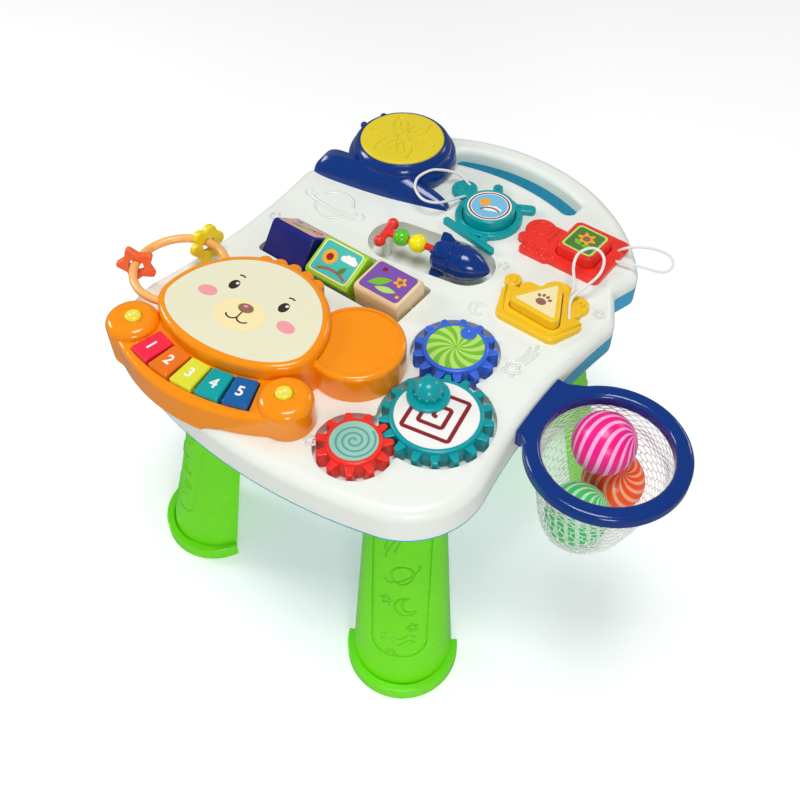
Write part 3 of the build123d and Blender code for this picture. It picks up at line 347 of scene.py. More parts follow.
def polar(radius, bearing, x=0, y=0):
    # flat point at a distance and a bearing in degrees
    return x + radius * cos(radians(bearing)), y + radius * sin(radians(bearing))


def turned(points, x, y, turn):
    # flat points turned about their own origin, which goes to x, y
    c, s = cos(radians(turn)), sin(radians(turn))
    return [(x + u * c - v * s, y + u * s + v * c) for u, v in points]


def oval(x, y, wide, tall, turn=0.0, steps=40):
    angles = [2 * pi * i / steps for i in range(steps)]
    return turned([(wide * cos(angle), tall * sin(angle)) for angle in angles], x, y, turn)


def circle(x, y, radius, steps=48):
    return oval(x, y, radius, radius, 0, steps)


def ovalLine(x, y, wide, tall, turn, start, sweep, steps):
    # open part of an oval
    angles = [radians(start + sweep * i / steps) for i in range(steps + 1)]
    return turned([(wide * cos(angle), tall * sin(angle)) for angle in angles], x, y, turn)


def rounded(points, radius, steps=6):
    # polygon with its corners rounded
    loop = []
    count = len(points)
    for i in range(count):
        here = Vector(points[i])
        back = (Vector(points[i - 1]) - here).normalized()
        ahead = (Vector(points[(i + 1) % count]) - here).normalized()
        half = acos(max(-1, min(1, back.dot(ahead)))) / 2
        reach = radius / max(sin(half), 1e-3)
        centre = here + (back + ahead).normalized() * reach
        touch = radius / max(abs(sin(half) / max(cos(half), 1e-6)), 1e-6)
        start, end = here + back * touch, here + ahead * touch
        a0 = atan2(start.y - centre.y, start.x - centre.x)
        a1 = atan2(end.y - centre.y, end.x - centre.x)
        sweep = (a1 - a0 + pi) % (2 * pi) - pi
        for k in range(steps + 1):
            angle = a0 + sweep * k / steps
            loop.append((centre.x + radius * cos(angle), centre.y + radius * sin(angle)))
    return loop


def roundedLine(points, radius, steps=5):
    # open line with its inner corners rounded
    loop = rounded(points, radius, steps)
    return [points[0]] + loop[steps + 1:-(steps + 1)] + [points[-1]]


def roundedBox(width, height, radius):
    w, h = width / 2, height / 2
    return rounded([(-w, -h), (w, -h), (w, h), (-w, h)], radius)


def starLoop(x, y, outer, inner, turn, corner, tips=5):
    points = [polar(inner if i % 2 else outer, turn + 180 * i / tips, x, y) for i in range(2 * tips)]
    return rounded(points, corner, 3)


def band(points, width):
    # ribbon of one width along flat points
    left, right = [[(x + nx * side / 2, y + ny * side / 2) for x, y, nx, ny in leftward(points)]
                   for side in (width, -width)]
    return left + right[::-1]


def arcLine(x, y, radius, start, end, steps=16, squash=1.0):
    return ovalLine(x, y, radius, radius * squash, 0, start, end - start, steps)


def sticker(name, body, matrix, layers, base=0.0, film=layer["film"], ink=layer["ink"], like=None):
    # printed picture: each layer is a finish, an outline and holes, and lies on the one before
    materials = list(dict.fromkeys(finish for finish, *_ in layers))

    def build(mesh):
        place = flat(matrix)
        for order, (finish, *loops) in enumerate(layers):
            low = base + film / 2 if order else base - layer["sink"]
            prism(mesh, loops, low, base + film + ink * order, place, materials.index(finish))
    return addPiece(name, build, materials, body, smooth=False)


# Wheel pictures
wheel = {
    "top": 8.1, "module": 5.74, "fall": 5.0, "rim": 4.0,
    "teal": (136.3, -79.6, 17), "red": (-120.6, 11), "blue": (114.1, 13),
    "edge": 0.25, "steps": 120,
    "spiralTurns": 3.1, "spiralWidth": 2.0, "spiralFrom": (0.6, 1.2), "spiralRim": 3.6,
    "mazeOuter": (24.4, 24.8, 22.6, 24.5), "mazeOuterEnds": (-5.0, 16.0),
    "mazeInner": (13.2, 13.2, 11.0, 10.0, 2.8, 2.6), "mazeInnerEnds": (-7.4, 1.8),
    "mazeWidth": 4.2, "mazeCorner": 2.4, "mazeTurn": 191.0, "knob": (22.5, 146.5, 6.6),
    "blades": 12, "bladeTwist": 30.0, "bladeBend": 1.2, "bladeShare": 0.5, "bladeSteps": 18, "rimSteps": 4,
    "dimple": (90.0, 21.8, 8.3),
}


def wheelAt(name):
    # middle and radius of a wheel's printed disc
    x, y, teeth = wheel["teal"]
    if name != "teal":
        bearing, own = wheel[name]
        x, y = polar(wheel["module"] * (teeth + own) / 2, bearing, x, y)
        teeth = own
    return x, y, wheel["module"] * teeth / 2 - wheel["fall"] - wheel["rim"] - wheel["edge"]


def spiralLayer():
    x, y, reach = wheelAt("red")
    angle, radius = wheel["spiralFrom"]
    points = []
    for share in shares(wheel["steps"]):
        turn = 2 * pi * wheel["spiralTurns"] * share + angle
        out = radius + (reach - wheel["spiralRim"]) * share
        points.append((out * cos(turn), out * sin(turn)))
    layers = [(inkMint, circle(0, 0, reach, 64)), (inkSea, band(points, wheel["spiralWidth"]))]
    sticker("gear_red_picture", "gear_red", moved(x, y), layers, wheel["top"])


def squareLine(halves, start, end):
    # square spiral: each side at its own distance, a quarter turn on from the one before
    corners = []
    for k, (near, far) in enumerate(zip(halves, halves[1:])):
        corners += turned([(near, far)], 0, 0, 90 * k)
    last = turned([(halves[-1], end)], 0, 0, 90 * (len(halves) - 1))
    return roundedLine([(halves[0], start), *corners, *last], wheel["mazeCorner"])


def mazeLayer():
    x, y, reach = wheelAt("teal")
    offset, bearing, hole = wheel["knob"]
    knob = polar(offset, bearing - wheel["mazeTurn"])
    layers = [(inkWhite, circle(0, 0, reach, 72), circle(*knob, hole, 24))]
    # both ends of the outer square and the start of the inner one lie under the knob
    for part in ("mazeOuter", "mazeInner"):
        line = squareLine(wheel[part], *wheel[part + "Ends"])
        layers.append((inkMaroon, band(line, wheel["mazeWidth"])))
    sticker("gear_teal_picture", "gear_teal", moved(x, y, 0, wheel["mazeTurn"]), layers, wheel["top"])


def swirlLayer():
    x, y, reach = wheelAt("blue")
    bearing, offset, keep = wheel["dimple"]
    bx, by = polar(offset, bearing)
    step = 360 / wheel["blades"]
    wide = step * wheel["bladeShare"]

    def clear(px, py):
        # points under the dimple's boss move out to its edge
        away = hypot(px - bx, py - by)
        if away >= keep:
            return px, py
        k = keep / max(away, 1e-6)
        return bx + (px - bx) * k, by + (py - by) * k

    def edge(turn):
        return [clear(*polar(reach * share, turn + wheel["bladeTwist"] * share ** wheel["bladeBend"]))
                for share in shares(wheel["bladeSteps"])]

    blades = []
    for i in range(wheel["blades"]):
        first, last = edge(i * step), edge(i * step + wide)
        arc = [clear(*polar(reach, i * step + wheel["bladeTwist"] + wide * share))
               for share in shares(wheel["rimSteps"])[1:-1]]
        blades.append(first[1:] + arc + last[:0:-1])

    def build(mesh):
        place, top, film = flat(moved(x, y)), wheel["top"], layer["film"]
        rim = [clear(px, py) for px, py in circle(0, 0, reach, wheel["steps"])]
        prism(mesh, [rim], top - layer["sink"], top + film, place)
        for blade in blades:
            prism(mesh, [blade], top + layer["ink"], top + film + layer["ink"], place, 1)
    addPiece("gear_blue_picture", build, [inkLeaf, inkPale], "gear_blue", smooth=False)


spiralLayer()
mazeLayer()
swirlLayer()
print("wheel pictures made")

# Block pictures
blocks = {
    "axle": (24.6, -5.5), "midX": -62.0, "spacing": 62.0, "half": 23.0,
    "turns": {"block_blue": 53.0, "block_green": 24.0, "block_cream": 4.0},
    "leafSteps": 9, "petal": 0.22,
    "cloud": ((-0.95, 0, 0.42, 110, 270), (0.95, 0, 0.42, -90, 70), (0.35, 0.3, 0.5, 20, 120),
              (-0.4, 0.28, 0.46, 60, 165)),
}


def leafLoop(x, y, length, width, turn):
    edge = [(length * t, width / 2 * sin(pi * t)) for t in shares(blocks["leafSteps"])]
    return turned(edge[:-1] + [(u, -v) for u, v in edge[:0:-1]], x, y, turn)


def flowerLoop(x, y, reach, petals=6, steps=60):
    loop = []
    for angle in [2 * pi * i / steps for i in range(steps)]:
        radius = reach * (1 - blocks["petal"] + blocks["petal"] * cos(petals * angle))
        loop.append((x + radius * cos(angle), y + radius * sin(angle)))
    return loop


def cloudLoop(x, y, size):
    loop = []
    for bx, by, radius, start, end in blocks["cloud"]:
        loop += arcLine(x + size * bx, y + size * by, size * radius, start, end, 8)
    return loop


blockArt = {
    "block_blue": [
        (inkSalmon, roundedBox(50, 39, 4.5)), (inkForest, leafLoop(-16, -8, 26, 9, 24)),
        (inkLeaf, leafLoop(-6, -12, 24, 8, 62)), (inkMaroon, flowerLoop(13, 5, 7)),
        (inkSun, circle(13, 5, 2.6, 20)), (inkViolet, circle(-16, 10, 3.4, 20))],
    "block_green": [
        (inkSand, roundedBox(50, 39, 4.5)), (inkAqua, roundedBox(47, 36, 3.5)),
        (inkSun, circle(-10, 2, 8.5, 32)), (inkMaroon, circle(-10, 2, 4.2, 24)),
        (inkWhite, cloudLoop(12, 7, 7.5)), (inkBrown, band(arcLine(2, -46, 36, 60, 120), 3.2)),
        (inkForest, leafLoop(8, -12, 13, 6, 60))],
    "block_cream": [
        (inkViolet, roundedBox(50, 39, 4.5)), (inkLeaf, leafLoop(-18, -12, 26, 10, 38)),
        (inkPale, leafLoop(-8, -13, 24, 8, 12)), (inkSun, flowerLoop(11, 6, 7.5, 5)),
        (inkBrown, circle(11, 6, 2.8, 20)), (inkMaroon, circle(-13, 12, 2.8, 20)),
        (inkSun, circle(20, -12, 2.2, 20))],
}
for index, (name, rest) in enumerate(blocks["turns"].items()):
    centre = Matrix.Translation((blocks["midX"] + (index - 1) * blocks["spacing"], *blocks["axle"]))
    first = -1 if name == "block_blue" else 0
    for number, quarter in enumerate((first, first + 2)):
        turn = Matrix.Rotation(radians(rest + 90 * quarter), 4, "X")
        matrix = centre @ turn @ Matrix.Translation((0, 0, blocks["half"]))
        sticker(f"{name}_picture_{number + 1}", name, matrix, blockArt[name])
print("block pictures made")

# Pictures on the three shape pieces
shapes = {
    "round": (13.7, 183.4, 24.2, 17.0), "square": (126.0, 196.0, -2.0, 36.4, 38.4, 18.5),
    "triangle": (137.0, 96.0, 28.4, 87.0, 16.5),
}
rx, ry, reach, top = shapes["round"]
layers = [(inkWhite, circle(0, 0, reach, 64)), (inkMaroon, circle(0, 0, reach - 1.8, 64)),
          (inkWhite, circle(0, 0, reach - 3.6, 64)), (inkSky, circle(0, 0, reach - 4.6, 64)),
          (inkSun, circle(-6, 5, 6.0, 32)), (inkWhite, cloudLoop(4, -5, 7.6)),
          (inkBrown, band(arcLine(2, -17, 14, 40, 140), 2.4))]
sticker("round_picture", "round_piece", moved(rx, ry, 0, 20), layers, top)
sx, sy, turn, wide, deep, top = shapes["square"]
layers = [(inkPale, roundedBox(wide, deep, 5)), (inkForest, roundedBox(wide - 5, deep - 5, 3.4)),
          (inkSun, flowerLoop(0, 3, 10.5, 6)), (inkBrown, circle(0, 3, 4.2, 28)),
          (inkLeaf, leafLoop(0, -9, 12, 6, 20)), (inkLeaf, leafLoop(0, -9, 12, 6, 150))]
sticker("square_picture", "square_piece", moved(sx, sy, 0, turn), layers, top)
tx, ty, reach, bearing, top = shapes["triangle"]
corners = [polar(reach, 120 * i) for i in range(3)]
layers = [(inkSand, rounded(corners, 2.2)), (inkBrown, oval(-2.4, 0, 4.6, 5.6))]
for angle in (-48, -16, 16, 48):
    layers.append((inkBrown, oval(*polar(8.6, angle, -1.6), 2.2, 1.7, angle)))
sticker("triangle_picture", "triangle_piece", moved(tx, ty, 0, bearing), layers, top)
print("piece pictures made")

# Face, keys and buttons of the keyboard
face = {"place": (-68.0, -122.0, 0, 5.0), "heights": (42.0, 0.06, 0.03)}
pianoFrame = moved(*face["place"])
faceLayers = [
    (inkDark, oval(-30, 34, 5.2, 6.6)), (inkDark, oval(30, 34, 5.2, 6.6)),
    (inkWhite, circle(-28.2, 36.8, 1.7, 20)), (inkWhite, circle(31.8, 36.8, 1.7, 20)),
    (inkSand, oval(0, 4, 27, 20)), (inkBrown, oval(0, 14, 8.4, 5.8)),
    (inkPink, oval(-1.6, 16, 2.6, 1.4, 14)),
    (inkDark, band([(0, 8.4), (0, 1)], 1.5)),
    (inkDark, band(arcLine(-6.5, 1.4, 6.5, 200, 360, 18, 0.8), 1.6)),
    (inkDark, band(arcLine(6.5, 1.4, 6.5, 180, 340, 18, 0.8), 1.6)),
    (inkPink, oval(-47, 14, 10, 6.6, 8)), (inkPink, oval(47, 14, 10, 6.6, -8)),
    (inkDark, band(arcLine(-30, 42, 6, 55, 125, 12), 1.5)),
    (inkDark, band(arcLine(30, 42, 6, 55, 125, 12), 1.5)),
]
sticker("face_picture", "walker", pianoFrame, faceLayers, *face["heights"], "face_panel")

keys = {
    "count": 5, "fan": 200.0, "fanY": 130.0, "step": 7.65, "top": 31.0, "lift": 0.05, "back": 1,
    "size": 15.5, "rise": 0.16, "round": 0.35, "weight": 0.32,
}


def numeralMesh(name, text, matrix):
    # numeral from the plain built-in face, centred
    curve = bpy.data.curves.new(name, "FONT")
    setAll(curve, body=text, size=keys["size"], extrude=keys["rise"], offset=keys["weight"],
           bevel_depth=keys["rise"] * keys["round"], bevel_resolution=1, resolution_u=5,
           align_x="CENTER", align_y="CENTER", space_character=1.05)
    mesh = plainMesh(newObject(name + "_text", curve))
    mesh.transform(toRow @ matrix)
    mesh.materials.clear()
    mesh.materials.append(inkWhite)
    mesh.name = name
    return mesh


for index in range(keys["count"]):
    key = f"key_{index + 1}"
    angle = (index - (keys["count"] - 1) / 2) * keys["step"]
    row = pianoFrame @ moved(0, keys["fanY"], keys["top"] + keys["lift"], angle)
    mesh = numeralMesh(key + "_numeral", str(index + 1), row @ moved(0, -keys["fan"] - keys["back"]))
    finishPiece(key + "_numeral", mesh, key, smooth=False)

buttons = {
    "x": 90.0, "y": -47.0, "top": 38.0, "low": -0.05, "high": 0.3, "head": (-1.2, -2.0, 1.6, 1.2, 20, 20),
    "stem": ((-0.1, -2.0), (0.5, -2.0), (0.5, 3.0), (-0.1, 3.0)),
    "flag": ((0.5, 3.0), (0.5, 1.7), (1.8, 0.9), (2.6, -0.2), (2.4, 1.2), (1.4, 2.2)),
}


def noteSign(mesh, place):
    # small raised music note
    for loop in (oval(*buttons["head"]), buttons["stem"], buttons["flag"]):
        prism(mesh, [loop], buttons["low"], buttons["high"], place)


for side, name in ((-1, "button_left"), (1, "button_right")):
    matrix = pianoFrame @ Matrix.Translation((side * buttons["x"], buttons["y"], buttons["top"]))
    addPiece(name + "_sign", lambda mesh: noteSign(mesh, flat(matrix)), [inkWhite], name, smooth=False)
print("face, numerals and signs made")

# Raised lines moulded on the deck
relief = {
    "width": 3.4, "thin": 0.9, "thinner": 0.8, "rise": 0.9, "planet": (-136.0, 98.0, 22.0, 0.0),
    "planetArcs": ((18, 162), (200, 340)), "rings": ((41.0, 11.0), (32.0, 5.6)), "ringArc": (150, 240, 44),
    "comet": (157.0, 14.0, 10.5, 5.2, 75, 1.2), "starCorner": 0.9,
    "tails": ((-4.5, 24, 3), (0.5, 30, 2), (5.5, 22, 1)), "tailRun": (11, 3),
    "stars": ((-176, 44, 7.5, 80), (70, 130, 6.5, 100), (186, 128, 6.5, 70), (60, -168, 7, 60)),
    "moon": ((84, 62, 9, 60, 330, 30), (88.5, 62, 7, 75, 285, 26)),
}


def deckRelief(mesh):
    place = flat()
    width, rise = relief["width"], relief["rise"]
    thin, thinner = width * relief["thin"], width * relief["thinner"]
    x, y, radius, turn = relief["planet"]
    for start, end in relief["planetArcs"]:
        ridge(mesh, turned(arcLine(0, 0, radius, start, end, 30), x, y, turn), width, rise, place)
    for wide, tall in relief["rings"]:
        ridge(mesh, ovalLine(x, y, wide, tall, turn, *relief["ringArc"]), thin, rise, place)
    cx, cy = relief["comet"][:2]
    ridge(mesh, starLoop(*relief["comet"]), thin, rise, place, closed=True)
    start, lean = relief["tailRun"]
    for offset, length, bend in relief["tails"]:
        tail = [(cx + offset + bend * sin(pi * t) + lean * t, cy + start + length * t) for t in shares(12)]
        ridge(mesh, tail, thinner, rise, place)
    for sx, sy, size, tilt in relief["stars"]:
        star = starLoop(sx, sy, size, size * 0.5, tilt, relief["starCorner"])
        ridge(mesh, star, thinner, rise, place, closed=True)
    for arc in relief["moon"]:
        ridge(mesh, arcLine(*arc), thinner, rise, place)


addPiece("deck_relief", deckRelief, [white], "walker")

# Raised lines moulded in the leg panels
legs = {
    "x": (116.0, 146.0), "front": (-96.5, -145.0), "back": (141.5, 190.0), "turn": 59.0,
    "radii": (36.0, 56.0), "ends": (-42.04, -345.0), "panel": 1.4, "rise": 1.1, "width": 2.6,
    "thin": 0.9, "flat": 0.8, "corner": 0.12,
    "stars": ((8, -96, 13, 96), (-15, -206, 7, 80), (15, -243, 7, 100), (-9, -284, 8, 70)),
    "tails": ((-6, 24), (0, 34), (6, 26)), "tailRun": (-112, 3, 0.5), "globe": (2, -168, 12, 32),
    "ring": (2, -168, 21, 6, 28, 160, 220, 30),
    "moon": ((8, -212, 13, 100, 320, 26), (13, -209.5, 10.5, 108, 292, 22)),
    "waves": (-258, -266), "waveRun": (-20, 38, 3, 1.5),
}


def legSurface(row, side):
    # drawing on the recessed panel: across its width, up its height, out from its floor
    turn = radians(-legs["turn"] if row == "front" else legs["turn"])
    high, low = legs["ends"]

    def place(across, z, out):
        share = (high - z) / (high - low)
        radius, x, y = [top + (foot - top) * share for top, foot in (legs["radii"], legs["x"], legs[row])]
        angle = turn + side * across / radius
        reach = radius - legs["panel"] + out
        return rowPoint(side * (x + reach * cos(angle)), y + reach * sin(angle), z)
    return place


def legRelief(mesh, place):
    # shooting star, ringed planet, moon, small stars and waves, one under the other
    width, rise = legs["width"], legs["rise"]
    thin, low = width * legs["thin"], rise * legs["flat"]
    for x, z, size, tilt in legs["stars"]:
        star = starLoop(x, z, size, size * 0.5, tilt, size * legs["corner"])
        ridge(mesh, star, width, rise, place, closed=True)
    start, bend, lean = legs["tailRun"]
    for offset, length in legs["tails"]:
        tail = [(offset - lean * length * t, start - length * t + bend * sin(pi * t)) for t in shares(10)]
        ridge(mesh, tail, thin, low, place)
    ridge(mesh, circle(*legs["globe"]), width, rise, place, closed=True)
    ridge(mesh, ovalLine(*legs["ring"]), thin, low, place)
    for arc in legs["moon"]:
        ridge(mesh, arcLine(*arc), width, rise, place)
    left, span, height, turns = legs["waveRun"]
    for z in legs["waves"]:
        wave = [(left + span * t, z + height * sin(2 * pi * turns * t)) for t in shares(24)]
        ridge(mesh, wave, thin, low, place)


for row in ("front", "back"):
    for side, word in ((1, "right"), (-1, "left")):
        name = f"leg_{row}_{word}"
        place = legSurface(row, side)
        addPiece(name + "_relief", lambda mesh: legRelief(mesh, place), [legGreen], "walker")
print("moulded lines made")

# Moulded lines on the drum skin
drum = {
    "x": -123.0, "y": 206.0, "top": 34.0, "reach": 40.0, "petals": 6, "rise": 0.8, "width": 1.7,
    "middle": 6.0, "turn": 12, "petal": (8, 8.6, 0.8), "rib": (12, 16), "thin": 0.8,
}


def drumRelief(mesh):
    place = flat(moved(drum["x"], drum["y"]))
    width, rise, top = drum["width"], drum["rise"], drum["top"]
    ridge(mesh, circle(0, 0, drum["middle"], 24), width, rise, place, top, closed=True)
    (start, half, lean), (inner, length) = drum["petal"], drum["rib"]
    petal = [(start + (drum["reach"] - start) * t, half * sin(pi * t ** lean)) for t in shares(16)]
    petal += [(u, -v) for u, v in petal[-2:0:-1]]
    rib = [(inner + length * t, 0) for t in shares(4)]
    for i in range(drum["petals"]):
        turn = 360 * i / drum["petals"] + drum["turn"]
        ridge(mesh, turned(petal, 0, 0, turn), width, rise, place, top, closed=True)
        ridge(mesh, turned(rib, 0, 0, turn), width * drum["thin"], rise * drum["thin"], place, top)


addPiece("drum_relief", drumRelief, [drumYellow], "drum_head")


# Raised lines moulded on the picture plates
def straight(x, y, dx, dy, count):
    return [(x + dx * t, y + dy * t) for t in shares(count)]


# a tuple is a closed circle, a list is an open line
plates = {
    "top": 6.5, "width": 2.2, "rise": 0.8,
    "train_plate": [
        (74, 198, 10.5, 32), (77, 166, 5.5, 24), (93, 166, 5.5, 24), straight(103, 166, 54, 0, 8),
        straight(157.5, 174, 0, 19, 4), straight(90, 178, 0, 28, 6), straight(62, 178, 15, 0, 4)],
    "boat_plate": [
        roundedLine([(92, 102), (108, 68), (166, 68), (181, 100)], 8, 6), (92, 113, 4.2, 20),
        *([(157 + 5.5 * k, 117 + 1.5 * k), (160 + 5.5 * k, 128 - 1.5 * k)] for k in range(3))],
    "helicopter_plate": [
        arcLine(13.7, 183.4, 32.6, 196, 344, 36), (-36.5, 204, 6, 28), straight(-14, 148.3, 58, -9.8, 8),
        [(31, 211.2), (44, 218.4)], [(-3, 226.4), (3, 216.8)]],
}


def plateRelief(mesh, drawing):
    place = flat()
    for item in drawing:
        closed = isinstance(item, tuple)
        points = circle(*item) if closed else item
        ridge(mesh, points, plates["width"], plates["rise"], place, plates["top"], closed)


for name in ("train_plate", "boat_plate", "helicopter_plate"):
    finish = nodeFinish[name]
    addPiece(name + "_relief", lambda mesh: plateRelief(mesh, plates[name]), [finish], "walker")
print("plate lines made")

# Tether cords
cords = {
    "radius": 1.5,
    "cord_round": (
        (-27.5, 211.0, 3.5), (-36.4, 213.0, 7.8), (-47.8, 212.5, 13.9), (-57.1, 203.2, 19.3),
        (-63.7, 195.0, 22.6), (-68.4, 187.0, 25.0), (-73.1, 171.6, 24.2), (-70.7, 161.4, 23.9),
        (-63.9, 151.3, 23.1), (-52.0, 144.2, 22.4), (-42.2, 143.3, 21.6), (-32.3, 151.3, 19.0),
        (-29.9, 163.2, 14.8), (-28.3, 172.8, 11.7), (-26.3, 186.4, 7.6), (-24.5, 197.0, 3.5)),
    "cord_square": (
        (154.0, 217.0, 3.5), (160.2, 216.8, 11.4), (171.1, 220.6, 17.0), (183.7, 226.6, 18.4),
        (194.4, 231.2, 17.4), (204.3, 234.0, 14.8), (211.8, 231.1, 12.4), (215.4, 224.0, 10.3),
        (213.4, 216.2, 8.7), (206.6, 211.8, 7.7), (196.5, 209.8, 7.6), (187.0, 206.5, 8.6),
        (177.5, 203.6, 8.9), (166.5, 201.9, 6.9), (157.0, 201.5, 3.5)),
    "cord_triangle": (
        (153.5, 121.0, 3.5), (154.0, 126.2, 11.8), (150.9, 133.2, 21.6), (142.9, 141.5, 28.9),
        (138.7, 151.4, 32.8), (137.9, 161.6, 34.8), (144.9, 173.3, 35.9), (154.5, 175.1, 34.5),
        (163.6, 168.6, 32.0), (167.6, 156.6, 27.6), (166.7, 147.6, 24.1), (162.2, 136.9, 18.3),
        (158.0, 125.8, 15.4), (157.5, 116.6, 12.2), (163.3, 104.7, 8.8), (169.8, 97.0, 3.5)),
}


def lineLength(curve):
    # length of the smooth line itself, with no thickness on it
    mesh = plainMesh(newObject("measure", curve))
    ends = [[mesh.vertices[i].co for i in edge.vertices] for edge in mesh.edges]
    total = sum((a - b).length for a, b in ends)
    bpy.data.meshes.remove(mesh)
    return total


for name in ("cord_round", "cord_square", "cord_triangle"):
    curve = bpy.data.curves.new(name + "_line", "CURVE")
    setAll(curve, dimensions="3D", resolution_u=10)
    spline = curve.splines.new("NURBS")
    route = [rowPoint(*point) for point in cords[name]]
    spline.points.add(len(route) - 1)
    for point, spot in zip(spline.points, route):
        point.co = (*spot, 1)
    setAll(spline, order_u=3, use_endpoint_u=True)
    length = lineLength(curve)
    setAll(curve, bevel_depth=cords["radius"] / 1000, bevel_resolution=4, use_fill_caps=True)
    curve.materials.append(cordWhite)
    piece = newObject(name + "_braid", curve)
    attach(piece, "walker")
    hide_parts(name)
    print(name, "length", round(length, 4))

# Balls: two-colour shells, stripes winding from pole to pole
balls = {
    "radius": 31.0, "stripes": 12, "columns": 8, "light": 3, "rows": 48, "twist": 1.15, "raise": 0.12,
    "pole": 0.5,
    "ball_pink": ((263.9, 13.6, -30.25), (0.746, 0.361, 0.556), 10.0),
    "ball_orange": ((278.4, 23.7, -90.0), (0.3, -0.2, 0.9), 40.0),
    "ball_green": ((272.8, -37.55, -80.0), (0.45, 0.5, 0.74), 0.0),
}
ballShades = {
    "ball_pink": ((250, 18, 138), (255, 176, 222)),
    "ball_orange": ((255, 84, 20), (255, 176, 140)),
    "ball_green": ((66, 208, 108), (196, 240, 200)),
}


def ballMesh(mesh, centre, pole, turn):
    columns = balls["stripes"] * balls["columns"]
    spin = Vector(pole).normalized().to_track_quat("Z", "Y").to_matrix().to_4x4()
    matrix = Matrix.Translation(centre) @ spin @ Matrix.Rotation(radians(turn), 4, "Z")
    place = flat(matrix)
    rows = []
    for j in range(1, balls["rows"]):
        tilt = pi * j / balls["rows"]
        row = []
        for i in range(columns):
            angle = 2 * pi * i / columns + balls["twist"] * (tilt - pi / 2)
            inside = 0 < i % balls["columns"] < balls["light"]
            radius = balls["radius"] - balls["raise"] + (balls["raise"] if inside else 0)
            row.append(mesh.verts.new(place(
                radius * sin(tilt) * cos(angle), radius * sin(tilt) * sin(angle), radius * cos(tilt))))
        rows.append(row)
    poles = [mesh.verts.new(place(0, 0, s * (balls["radius"] - balls["pole"]))) for s in (1, -1)]
    for i in range(columns):
        after = (i + 1) % columns
        shade = 1 if i % balls["columns"] < balls["light"] else 0
        for upper, lower in zip(rows, rows[1:]):
            mesh.faces.new((upper[i], lower[i], lower[after], upper[after])).material_index = shade
        mesh.faces.new((poles[0], rows[0][i], rows[0][after])).material_index = shade
        mesh.faces.new((poles[1], rows[-1][after], rows[-1][i])).material_index = shade


for name, shades in ballShades.items():
    centre, pole, turn = balls[name]
    pair = [mouldedPlastic(name + "_" + word, shade, gloss=0.3, coat=0.3, glow=0.15, soften=0)
            for word, shade in zip(("deep", "light"), shades)]
    piece = addPiece(name + "_shell", lambda mesh: ballMesh(mesh, centre, pole, turn), pair, name)
    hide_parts(name)
print("balls made")

# Ball net: knitted yarn on a sagging bag
net = {
    "around": 66, "yarn": 0.55, "sides": 5, "rows": 34, "seed": 4.0, "drift": 0.18, "wave": 1.6, "dip": 0.9,
    "inset": 0.7, "clear": 0.9,
    "levels": (
        (-15.7, 277.0, -9.0, 62.6, 62.6), (-34.0, 276.5, -8.5, 61.0, 63.0),
        (-52.0, 276.0, -8.0, 58.4, 64.2), (-86.0, 275.0, -7.5, 49.6, 65.4),
        (-106.0, 275.0, -5.8, 42.0, 58.4), (-116.0, 275.4, -4.2, 31.0, 48.5),
        (-121.6, 276.0, -3.0, 18.0, 35.0), (-121.9, 276.0, -3.0, 3.0, 8.0)),
    "lifts": {
        "ball_pink": (), "ball_green": ((0, 0, 8),),
        "ball_orange": ((-0.5, 0.85, 4.9), (-1.0, 1.7, 9.8), (-1.0, 1.7, 13.8), (-1.0, 1.7, 17.8)),
    },
}


def netSurface(share):
    # level of the bag at a share of its depth
    levels = net["levels"]
    spot = share * (len(levels) - 1)
    index = min(int(spot), len(levels) - 2)
    t = spot - index
    p0, p1 = levels[max(index - 1, 0)], levels[index]
    p2, p3 = levels[index + 1], levels[min(index + 2, len(levels) - 1)]
    return [0.5 * (2 * b + (c - a) * t + (2 * a - 5 * b + 4 * c - d) * t * t
                   + (3 * b - a - 3 * c + d) * t ** 3) for a, b, c, d in zip(p0, p1, p2, p3)]


def netGrid(mesh):
    # brick-like net: each cell is a long hexagon hanging from the one above, clear of lifted balls
    rows = []
    keep = balls["radius"] + net["clear"]
    centres = [Vector(balls[name][0]) + Vector(lift)
               for name, lifts in net["lifts"].items() for lift in ((0, 0, 0), *lifts)]
    for j in range(net["rows"] + 1):
        share = j / net["rows"]
        z, x, y, rx, ry = netSurface(share)
        row = []
        for i in range(net["around"]):
            drift = net["drift"] * sin(5 * share + i * 0.35)
            angle = 2 * pi * (i + drift) / net["around"]
            spot = Vector((3 * cos(angle), 3 * sin(angle), 4 * share + net["seed"]))
            wave = noise.noise(spot) * net["wave"] * min(1, 6 * share) - net["inset"]
            dip = net["dip"] * (1 if (i + j) % 2 else -1) * (0 < j < net["rows"])
            px, py, pz = x + (rx + wave) * cos(angle), y + (ry + wave) * sin(angle), z + dip
            for centre in centres:
                away = Vector((px, py, pz)) - centre
                if away.length < keep:
                    px, py, pz = centre + away.normalized() * keep
            row.append(mesh.verts.new(rowPoint(px, py, pz)))
        rows.append(row)
    for j in range(net["rows"] + 1):
        for i in range(net["around"]):
            after = (i + 1) % net["around"]
            mesh.edges.new((rows[j][i], rows[j][after]))
            if j < net["rows"] and (i + j) % 2 == 0:
                mesh.edges.new((rows[j][i], rows[j + 1][i]))


def openTree(name, inputs):
    # geometry tree with named inputs, and the inputs' identifiers for a modifier
    tree = bpy.data.node_groups.new(name, "GeometryNodeTree")
    tree.interface.new_socket("Geometry", in_out="INPUT", socket_type="NodeSocketGeometry")
    made = [tree.interface.new_socket(label, in_out="INPUT", socket_type="NodeSocket" + kind)
            for label, kind in inputs]
    tree.interface.new_socket("Geometry", in_out="OUTPUT", socket_type="NodeSocketGeometry")
    return tree, tree.nodes.new("NodeGroupInput"), [item.identifier for item in made]


